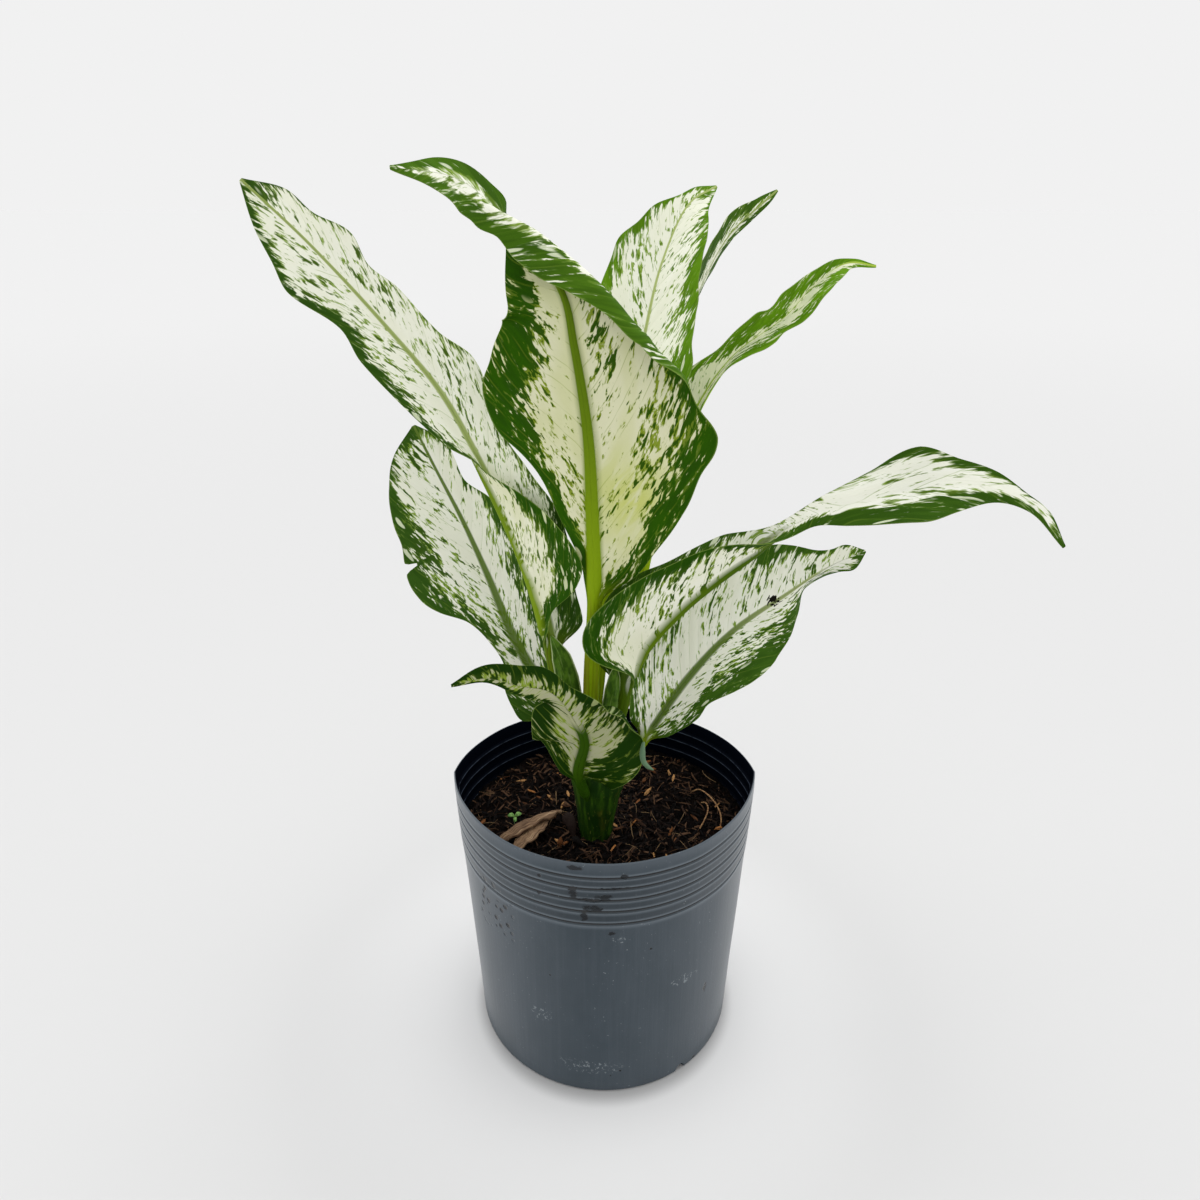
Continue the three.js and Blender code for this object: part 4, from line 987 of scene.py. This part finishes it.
PEAT_BLACK = paint("#060505")
PEAT_BROWN = paint("#150e0b")
PEAT_RED = paint("#2e1d15")
peat = Surface("peat", Roughness=0.9, Specular_IOR_Level=0.06)
place = peat.place()
clods = place.noise(140, 4, 0.7)
strands = place.times(700, 260, 400).noise(1, 3, 0.7)
ground = layered(
    PEAT_BLACK, (clods.step(0.42, 0.66), PEAT_BROWN), (strands.step(0.56, 0.66) * 0.6, PEAT_RED))
peat.finish(Base_Color=ground, Normal=peat.bump(clods + strands * 0.5, 1.6 * MM))
soil_bed.data.materials.append(peat.material)
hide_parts("soil")
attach(soil_bed, "root")


# Litter: shreds of bark, threads of coir and rice hulls that lie on the soil. Each kind is modelled
# a few times from a bar and copied all over the bed, and all of a kind are one piece.
LITTER = {
    "bark_shreds": dict(
        count=2600, length=(2.5, 10), half_width=(0.28, 1.0), half_height=(0.2, 0.6), bend=0.1,
        lift=(-0.4, 2.0), tilt=24, taper=0.35, skin="bark", roughness=0.85,
        colours=("#090706", "#14100e", "#0c0a09", "#241a16", "#0a0808", "#3d2c22", "#100d0c",
                 "#5c4433")),
    "coir_threads": dict(
        count=170, length=(8, 18), half_width=(0.12, 0.24), half_height=(0.12, 0.24), bend=0.2,
        lift=(0.4, 2.2), tilt=12, taper=0.6, skin="coir", roughness=0.8,
        colours=("#1c130e", "#3a281d", "#5e4632", "#8a7152")),
    "rice_hulls": dict(
        count=60, length=(6, 8.5), half_width=(0.9, 1.3), half_height=(0.5, 0.8), bend=0.06,
        lift=(0.6, 2.2), tilt=22, taper=0.15, skin="hull", roughness=0.6,
        colours=("#4a3020", "#80502c", "#a86f3e", "#5f3c24", "#b98a58")),
}
LITTER_VARIANTS = 6
LITTER_CUTS = 4
LITTER_REACH = 0.93
LITTER_SEED = 11


def model_shred(kind, chance):
    """One bar of length and half width 1, tapered: rows of width, length, height, sway and arch."""
    bar, _, _, below = sheet_from_grid("bar", 2, LITTER_CUTS)
    close_up(bar)
    sway = chance.uniform(-1, 1) * kind["bend"]
    arch = chance.uniform(-0.3, 1) * kind["bend"]
    points = []
    for vertex, is_below in zip(bar.data.vertices, below):
        x, y, _ = vertex.co
        width = mix(1, kind["taper"], abs(y) ** 2) * chance.uniform(0.8, 1.1)
        crown = 0.5 if abs(x) < 0.1 else 0
        height = 0 if is_below else 1 + crown
        points.append((x * width, y / 2, height, sway * y * y, arch * (1 - y * y)))
    faces = [tuple(face.vertices) for face in bar.data.polygons]
    bpy.data.objects.remove(bar)
    return np.array(points), faces


def scatter(name, kind, seed):
    """Copies of one kind of shred all over the soil, as one piece."""
    chance = random.Random(seed)
    variants = [model_shred(kind, chance) for _ in range(LITTER_VARIANTS)]
    points, faces, tints = [], [], []
    for _ in range(kind["count"]):
        shape, shape_faces = chance.choice(variants)
        angle = chance.uniform(0, 2 * math.pi)
        reach = LITTER_REACH * math.sqrt(chance.random()) * pot_radius(angle, SOIL_LEVEL / POT_HEIGHT)
        x, y = reach * math.cos(angle), reach * math.sin(angle)
        sizes = (kind[size] for size in ("length", "half_width", "half_height"))
        length, wide, high = (chance.uniform(*size) for size in sizes)
        local = np.stack([
            shape[:, 0] * wide + shape[:, 3] * length,
            shape[:, 1] * length,
            (shape[:, 2] - 0.5) * high + shape[:, 4] * length], 1)
        turn = (Matrix.Rotation(chance.uniform(0, 2 * math.pi), 3, "Z")
                @ Matrix.Rotation(math.radians(chance.gauss(0, kind["tilt"])), 3, "X")
                @ Matrix.Rotation(math.radians(chance.gauss(0, 1.5 * kind["tilt"])), 3, "Y"))
        place = np.array([x, y, soil_height(x, y) + chance.uniform(*kind["lift"])])
        start = sum(len(block) for block in points)
        points.append(local @ np.array(turn).T + place)
        faces += [tuple(start + corner for corner in face) for face in shape_faces]
        tints += [chance.random()] * len(shape)
    mesh = bpy.data.meshes.new(name)
    mesh.from_pydata((np.vstack(points) * MM).tolist(), [], faces)
    piece = bpy.data.objects.new(name, mesh)
    bpy.context.scene.collection.objects.link(piece)
    give_attribute(piece, "tint", np.array(tints), np.zeros(len(tints)), np.zeros(len(tints)))
    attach(piece, "root")
    return piece


def litter_surface(kind):
    """A matt surface whose colour each copy draws from the kind's colours by its own tint."""
    surface = Surface(kind["skin"], Roughness=kind["roughness"], Specular_IOR_Level=0.1)
    tint, _, _ = surface.attribute("tint").axes()
    grain = surface.place().times(900, 900, 900).noise(1, 2, 0.6)
    first, *others = [paint(code) for code in kind["colours"]]
    share = 1 / len(kind["colours"])
    steps = [tint.step((k + 0.2) * share, (k + 0.8) * share) for k in range(len(others))]
    colour = layered(first, *zip(steps, others), (grain.step(0.45, 0.7) * 0.35, first))
    surface.finish(Base_Color=colour, Normal=surface.bump(grain, 0.3 * MM))
    return surface.material


litter_skins = {name: litter_surface(kind) for name, kind in LITTER.items()}
for seed, (name, kind) in enumerate(LITTER.items(), LITTER_SEED):
    scatter(name, kind, seed).data.materials.append(litter_skins[name])


# Wood chip: a torn flake of old wood, greyed outside, that lies on the soil in front of the stalk
# on the left, with a broader flake that has split from it. Each is a sheet cut from a grid.
# A chip's rows are [share of the length, half width].
CHIPS = {
    "chip_long": dict(start=(-66, -30, 159.4), end=(-29, -5, 162.4), replaces="wood_chip",
                      rows=[(0, 2.6), (0.12, 5), (0.35, 5.4), (0.6, 4), (0.85, 3), (1, 1.2)],
                      thick=3, arch=3),
    "chip_broad": dict(start=(-58, -41, 158.6), end=(-38, -12, 161), replaces=None,
                       rows=[(0, 1.5), (0.2, 5), (0.5, 7), (0.8, 5), (1, 2)],
                       thick=2, arch=2),
}
CHIP_COLUMNS = 16
CHIP_STATIONS = 60

old_wood = Surface("old_wood", Roughness=0.8, Specular_IOR_Level=0.25)
fibres = old_wood.attribute("grain").times(40, 900, 1).noise(1, 4, 0.6)
blotch = old_wood.attribute("grain").times(90, 160, 1).noise(1, 3, 0.6)
wood = layered(
    paint("#5c4433"),
    (fibres.step(0.35, 0.66), paint("#987a5c")),
    (blotch.step(0.5, 0.68) * 0.5, paint("#4f3829")),
    (fibres.step(0.62, 0.7) * 0.6, paint("#d3bb98")),
)
old_wood.finish(Base_Color=wood, Normal=old_wood.bump(fibres, 0.9 * MM))

for number, (name, chip) in enumerate(CHIPS.items()):
    piece, column, station, below = sheet_from_grid(name, CHIP_COLUMNS, CHIP_STATIONS)
    start, end = np.array(chip["start"]), np.array(chip["end"])
    ahead = (end - start) / np.linalg.norm(end - start)
    sideways = np.cross((0, 0, 1), ahead)
    sideways /= np.linalg.norm(sideways)
    places, grain_places = [], []
    for i, j, is_below in zip(column, station, below):
        across, share = 2 * i / CHIP_COLUMNS - 1, j / CHIP_STATIONS
        half = float(np.interp(share, *zip(*chip["rows"])))
        torn = 1.3 * noise.noise(Vector((share * 9, across * 1.5, number * 5)))
        splinter = 1.5 * noise.noise(Vector((across * 6, number * 3, 0.5 if share > 0.5 else 7)))
        reach = share + splinter / 40 * abs(2 * share - 1) ** 3
        lift = chip["arch"] * math.sin(math.pi * share) + 0.5 * torn - 0.5 * half * across * 0.35
        ridge = 0.35 * noise.noise(Vector((across * 7, share * 2, number)))
        thick = chip["thick"] * (1 - 0.55 * across ** 4) * (1 - 0.5 * abs(2 * share - 1) ** 4)
        place = start + (end - start) * reach + sideways * (across * half + torn)
        place[2] += lift + ridge + (-thick / 2 if is_below else thick / 2)
        places.append(place)
        grain_places.append((share * np.linalg.norm(end - start) * MM, across * half * MM, number))
    give_points(piece, np.array(places) * MM)
    give_attribute(piece, "grain", *np.array(grain_places).T)
    close_up(piece, angle=45)
    piece.data.materials.append(old_wood.material)
    if chip["replaces"]:
        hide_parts(chip["replaces"])
    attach(piece, "root")


# Stalk: a thick green stem that swells where the leaves leave it, with faint rings of old leaf
# scars. It is drawn up ring by ring and then laid on its centre line.
# Rows of the stalk: its middle, its height there and its radius.
STALK = [(-6, -17, 120, 9), (-6, -17, 156, 11), (-5, -17, 178, 13.5), (-4, -16, 204, 18.5),
         (-4, -15, 226, 20), (-4, -14, 244, 13)]
STALK_SIDES = 72
STALK_RINGS = 60
STALK_DRAWN = 10  # radius at which it is drawn up
SCAR_SPACING = 17
SCARS_BELOW = 200

stalk_rows = np.array(STALK, float)
stalk_heights = np.linspace(STALK[0][2], STALK[-1][2], STALK_RINGS)
stalk_body = draw_up("stalk_body", STALK_SIDES, [(height, STALK_DRAWN) for height in stalk_heights])
for vertex in stalk_body.data.vertices:
    x, y, height = vertex.co / MM
    middle_x, middle_y, radius = (
        np.interp(height, stalk_rows[:, 2], stalk_rows[:, k]) for k in (0, 1, 3))
    angle = math.atan2(y, x)
    ribs = 0.35 * noise.noise(Vector((3 * math.cos(angle), 3 * math.sin(angle), height / 30)))
    scar = 0.5 * math.exp(-(((height + 2 * math.sin(angle + 1)) % SCAR_SPACING - 8) / 1.2) ** 2)
    grow = (radius - 0.3 + ribs + scar * (height < SCARS_BELOW)) / STALK_DRAWN
    vertex.co = Vector((middle_x + grow * x, middle_y + grow * y, height)) * MM
close_up(stalk_body, angle=60)

green_stem = Surface("green_stem", Specular_IOR_Level=0.15)
place = green_stem.place()
streak = place.times(260, 260, 22).noise(1, 3, 0.6)
speck = place.times(700, 700, 300).noise(1, 2, 0.6)
bark_tone = place.times(60, 60, 26).noise(1, 3, 0.6)
stem = layered(
    paint("#17340a"),
    (streak.step(0.4, 0.75), paint("#375a10")),
    (bark_tone.step(0.56, 0.72) * 0.7, paint("#6f6a20")),
    (speck.step(0.64, 0.72) * 0.4, paint("#8a9444")),
)
green_stem.finish(
    Base_Color=stem,
    Roughness=0.4 + streak * 0.15,
    Normal=green_stem.bump(streak + speck * 0.3, 0.4 * MM),
)
stalk_body.data.materials.append(green_stem.material)
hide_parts("stalk")
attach(stalk_body, "root")


# Sheaths: the winged foot of a leaf stem, a bud between the stems, and a thin curled lip that hangs
# from the small front leaf. Each is a soft green sheet with a pale edge, laid along its route.
# widths are rows of [share of the length, half width] in millimetres, and arch is how far the middle
# stands out, as a share of the half width.
SHEATHS = {
    "sheath_left": dict(route=[(-18, -27, 236), (-20, -30, 262), (-23, -31.5, 283), (-26, -31.5, 295),
                               (-31, -31, 307)],
                        widths=[(0, 5), (0.3, 7), (0.6, 7), (0.8, 5.6), (0.93, 2.6), (1, 0.6)],
                        arch=0.3, thick=0.7),
    "bud": dict(route=[(1, -27, 236), (2.5, -31, 256), (4.5, -32.5, 272), (6, -32, 288)],
                widths=[(0, 3.5), (0.3, 5), (0.7, 4.8), (0.88, 3.2), (0.96, 1.6), (1, 0.5)], arch=0.8,
                thick=1.2),
    "curled_lip": dict(route=[(22, -55, 251), (21.5, -56.5, 245), (22, -57, 239.5), (24.5, -56.5, 235),
                              (28, -55, 231.5)],
                       widths=[(0, 0.8), (0.3, 1.7), (0.6, 1.5), (0.85, 1.1), (1, 0.4)], arch=0.9,
                       thick=0.6),
}
STRIP_COLUMNS = 12
STRIP_STATIONS = 40


def lay_strip(name, strip, number):
    """A thin sheet laid along a route, arched across and wrinkled a little. It knows its own grain."""
    piece, column, station, behind = sheet_from_grid(name, STRIP_COLUMNS, STRIP_STATIONS)
    share, across = station / STRIP_STATIONS, 2 * column / STRIP_COLUMNS - 1
    starts, ahead, length = smooth_route(strip["route"], share)
    sideways = np.cross(ahead, strip.get("facing", FRONT))
    sideways /= np.linalg.norm(sideways, axis=1)[:, None]
    forward = np.cross(sideways, ahead)
    half = np.interp(share, *zip(*strip["widths"]))
    wrinkle = np.array([noise.noise(Vector((a * 2, s * 6, number * 3))) for a, s in zip(across, share)])
    depth = half * (strip["arch"] * (1 - across ** 2) + 0.16 * wrinkle)
    depth += np.where(behind, -0.5, 0.5) * strip["thick"] * (1 - 0.5 * across ** 2)
    places = starts + sideways * (across * half)[:, None] + forward * depth[:, None]
    give_points(piece, places * MM)
    give_attribute(piece, "grain", share * length * MM, across * half * MM, np.abs(across))
    give_attribute(piece, "tint", np.full(len(across), (0.37 * number) % 1), share, 0 * share)
    close_up(piece)
    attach(piece, "root")
    return piece


sheath_skin = Surface("sheath_skin", Roughness=0.5, Specular_IOR_Level=0.08)
sheath_grain = sheath_skin.attribute("grain")
_, _, to_edge = sheath_grain.axes()
sheath_lines = sheath_grain.times(50, 900, 0).noise(1, 3, 0.6)
sheath_blotch = sheath_grain.times(120, 240, 0).noise(1, 3, 0.6)
sheath_tint, _, _ = sheath_skin.attribute("tint").axes()
sheath = layered(
    paint("#35560f"),
    (sheath_blotch.step(0.4, 0.62), paint("#557a20")),
    (sheath_lines.step(0.55, 0.7) * 0.5, paint("#8ba65a")),
    (to_edge.step(0.82, 0.97) * 0.85, paint("#c0d094")),
    (sheath_tint.step(0.5, 0.7) * 0.85, paint("#5f7a62")),
)
sheath_skin.finish(Base_Color=sheath, Normal=sheath_skin.bump(sheath_lines, 0.3 * MM))
for number, (name, strip) in enumerate(SHEATHS.items()):
    piece = lay_strip(name, strip, number)
    piece.data.materials.append(sheath_skin.material)


# Scraps: two curled scraps of bark that lean at the foot of the stalk, and a rice hull that stands
# upright in the soil beside the wood chip.
SCRAPS = {
    "bark_scrap": dict(route=[(-27, -6, 155), (-25, -12, 162), (-22, -18, 163), (-20, -25, 156)],
                       widths=[(0, 1.5), (0.3, 4.5), (0.7, 4), (1, 1)], arch=0.5, thick=0.8,
                       facing=(-0.6, -0.4, 0.7), skin="bark_shreds"),
    "bark_curl": dict(route=[(-22, -25, 155), (-18, -30, 159), (-13, -34, 157)],
                      widths=[(0, 0.8), (0.5, 2.6), (1, 0.6)], arch=0.7, thick=0.8,
                      skin="bark_shreds"),
    "hull_upright": dict(route=[(-29, -31.5, 153), (-28.7, -32, 158), (-28, -31.5, 163)],
                         widths=[(0, 0.8), (0.3, 1.9), (0.7, 1.8), (1, 0.3)], arch=0.8, thick=0.7,
                         skin="rice_hulls"),
}
for number, (name, strip) in enumerate(SCRAPS.items()):
    piece = lay_strip(name, strip, number + 1)
    piece.data.materials.append(litter_skins[strip["skin"]])


# Seedling: a weed with a thread of a stem and three tiny leaves that has come up in the soil behind
# the wood chip.
SEEDLING_LEAF = dict(arch=0.2, thick=0.5, facing=(0, -0.5, 0.87))
SEEDLING = {
    "seedling_stem": dict(route=[(-60, -8, 153), (-60.5, -8.5, 158), (-59.5, -9, 162)],
                          widths=[(0, 0.4), (1, 0.3)], arch=1, thick=0.6),
    "seedling_leaf_left": dict(route=[(-59.5, -9, 161.5), (-61.5, -10, 163.5), (-64, -10.5, 163)],
                               widths=[(0, 0.3), (0.5, 1.5), (0.8, 1.2), (1, 0.3)], **SEEDLING_LEAF),
    "seedling_leaf_right": dict(route=[(-59.5, -9, 161.5), (-57.5, -9.5, 163.8), (-55, -9, 163.5)],
                                widths=[(0, 0.3), (0.5, 1.6), (0.8, 1.2), (1, 0.3)], **SEEDLING_LEAF),
    "seedling_leaf_front": dict(route=[(-59.5, -9, 160.5), (-59.2, -11.5, 162), (-58.5, -14, 161)],
                                widths=[(0, 0.3), (0.5, 1.2), (0.8, 0.9), (1, 0.3)], **SEEDLING_LEAF),
}
seedling_skin = Surface("seedling_skin", Roughness=0.5, Specular_IOR_Level=0.1)
seedling_tone = seedling_skin.attribute("grain").times(900, 900, 1).noise(1, 2, 0.6)
seedling_skin.finish(Base_Color=seedling_tone.step(0.3, 0.7).mix(paint("#4f7c3a"), paint("#8fb86a")))
for number, (name, strip) in enumerate(SEEDLING.items()):
    piece = lay_strip(name, strip, number)
    piece.data.materials.append(seedling_skin.material)


# Roots: thin brown roots that loop out of the soil on the right, each a round cord along its route.
ROOTS = {
    "root_loop_back": [(60, 27, 153), (65.4, 22.1, 160), (71, 12, 163), (76, 1, 162),
                       (77.6, -9.3, 159), (75, -17, 153)],
    "root_loop_front": [(66, 16, 153), (69, 8, 159.5), (69.5, -2, 161.5), (66, -11, 159.5),
                        (60, -18, 153)],
}
ROOT_RADIUS = 0.5
ROOT_SIDES = 8
ROOT_RINGS = 48

root_skin = Surface("root_skin", Roughness=0.7, Specular_IOR_Level=0.1)
root_tone = root_skin.place().noise(700, 3, 0.6)
root_skin.finish(Base_Color=root_tone.step(0.35, 0.65).mix(paint("#6e4c34"), paint("#b08a62")),
                 Normal=root_skin.bump(root_tone, 0.2 * MM))
for name, route in ROOTS.items():
    piece = draw_up(name, ROOT_SIDES, [(height, 1) for height in np.linspace(0, 1, ROOT_RINGS)])
    places = np.array([vertex.co for vertex in piece.data.vertices]) / MM
    starts, ahead, _ = smooth_route(route, np.clip(places[:, 2], 0, 1))
    sideways = np.cross(ahead, (0, 0, 1))
    sideways /= np.linalg.norm(sideways, axis=1)[:, None]
    upward = np.cross(sideways, ahead)
    laid = starts + ROOT_RADIUS * (sideways * places[:, :1] + upward * places[:, 1:2])
    give_points(piece, laid * MM)
    close_up(piece)
    piece.data.materials.append(root_skin.material)
    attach(piece, "root")


# Stage: a sheet of pale paper that fades into the bright sky, three soft lamps, and the camera at the
# height and angle of the photograph. Round the pot the paper carries a painted shadow and a painted
# brighter ring just outside it.
CAMERA_PLACE = (-3 * MM, -486 * MM, 538.6 * MM)
CAMERA_DOWN = 24.67
LENS = 26.7
SENSOR = 36
FLOOR_REACH = 60
SKY = 0.88
SOFT_LIGHTS = {  # bearing, climb and spread in degrees, and strength
    "light_top": (60, 72, 50, 0.75),
    "light_left": (165, 24, 60, 0.5),
    "light_right": (10, 24, 60, 0.35),
}
sunlight = sum(
    strength * math.sin(math.radians(climb)) for _, climb, _, strength in SOFT_LIGHTS.values())
FAR_FLOOR = SKY / (SKY + sunlight / math.pi)
SHADE_AHEAD = 6 * MM
# Rows of distance from the pot in metres and grey, round a middle a little in front of it: a painted
# shadow round the pot, a painted brighter ring just outside it, then paper that fades into the sky.
FLOOR_SHADES = ((0.0, 0.5), (0.084, 0.52), (0.096, 0.84), (0.23, 0.7), (1.0, 0.69), (4.5, FAR_FLOOR))

floor_paper = Surface("floor_paper", Roughness=1.0, Specular_IOR_Level=0.0)
floor_x, floor_y, _ = floor_paper.place().axes()
floor_y = floor_y + SHADE_AHEAD
floor_distance = (floor_x * floor_x + floor_y * floor_y).power(0.5)
shade = (FLOOR_SHADES[0][1],) * 3
for (near, _), (far, grey) in zip(FLOOR_SHADES, FLOOR_SHADES[1:]):
    shade = floor_distance.step(near, far).mix(shade, (grey,) * 3)
floor_paper.finish(Base_Color=shade)
bpy.ops.object.select_all(action="DESELECT")
bpy.ops.mesh.primitive_plane_add(size=FLOOR_REACH, location=(0, 0, -0.2 * MM))
floor = bpy.context.object
floor.name = "floor"
bpy.ops.object.transform_apply(location=True)
floor.data.materials.append(floor_paper.material)

world = bpy.data.worlds.new("studio")
world.use_nodes = True
world.node_tree.nodes["Background"].inputs["Color"].default_value = (1, 1, 1, 1)
world.node_tree.nodes["Background"].inputs["Strength"].default_value = SKY
bpy.context.scene.world = world
bpy.context.scene.view_settings.view_transform = "Standard"

for name, (bearing, climb, spread, strength) in SOFT_LIGHTS.items():
    light = bpy.data.lights.new(name, "SUN")
    light.angle = math.radians(spread)
    light.energy = strength
    holder = bpy.data.objects.new(name, light)
    holder.rotation_euler = (math.radians(90 - climb), 0, math.radians(90 + bearing))
    bpy.context.scene.collection.objects.link(holder)

# A ring of card on the floor that only shows in the gloss of the pot: dim in front, bright behind.
CARD_REACHES = (0.094, 0.9)
CARD_SIDES = 96
card_paper = Surface("card_paper", Base_Color=(0, 0, 0, 1), Specular_IOR_Level=0.0, Roughness=1.0,
                     Emission_Strength=2.0)
card_x, card_y, _ = card_paper.place().axes()
card_distance = (card_x * card_x + card_y * card_y).power(0.5)
behind_pot = ((card_y / card_distance + 1) * 0.5).power(0.62)
card_level = behind_pot * 0.5 + 0.14
card_paper.finish(Emission_Color=card_level.mix((0, 0, 0), (1, 1, 1)))
bpy.ops.object.select_all(action="DESELECT")
bpy.ops.mesh.primitive_circle_add(vertices=CARD_SIDES, radius=CARD_REACHES[0], location=(0, 0, MM))
card = bpy.context.object
card.name = "card"
bpy.ops.object.transform_apply(location=True)
edit_all(card)
bpy.ops.mesh.extrude_region_move()
grow = CARD_REACHES[1] / CARD_REACHES[0]
bpy.ops.transform.resize(value=(grow, grow, 1), center_override=(0, 0, 0))
bpy.ops.object.mode_set(mode="OBJECT")
card.data.materials.append(card_paper.material)
card.visible_camera = card.visible_diffuse = card.visible_shadow = False

camera_data = bpy.data.cameras.new("camera")
camera_data.lens = LENS
camera_data.sensor_width = SENSOR
camera = bpy.data.objects.new("camera", camera_data)
camera.location = CAMERA_PLACE
camera.rotation_euler = (math.radians(90 - CAMERA_DOWN), 0, 0)
bpy.context.scene.collection.objects.link(camera)
bpy.context.scene.camera = camera
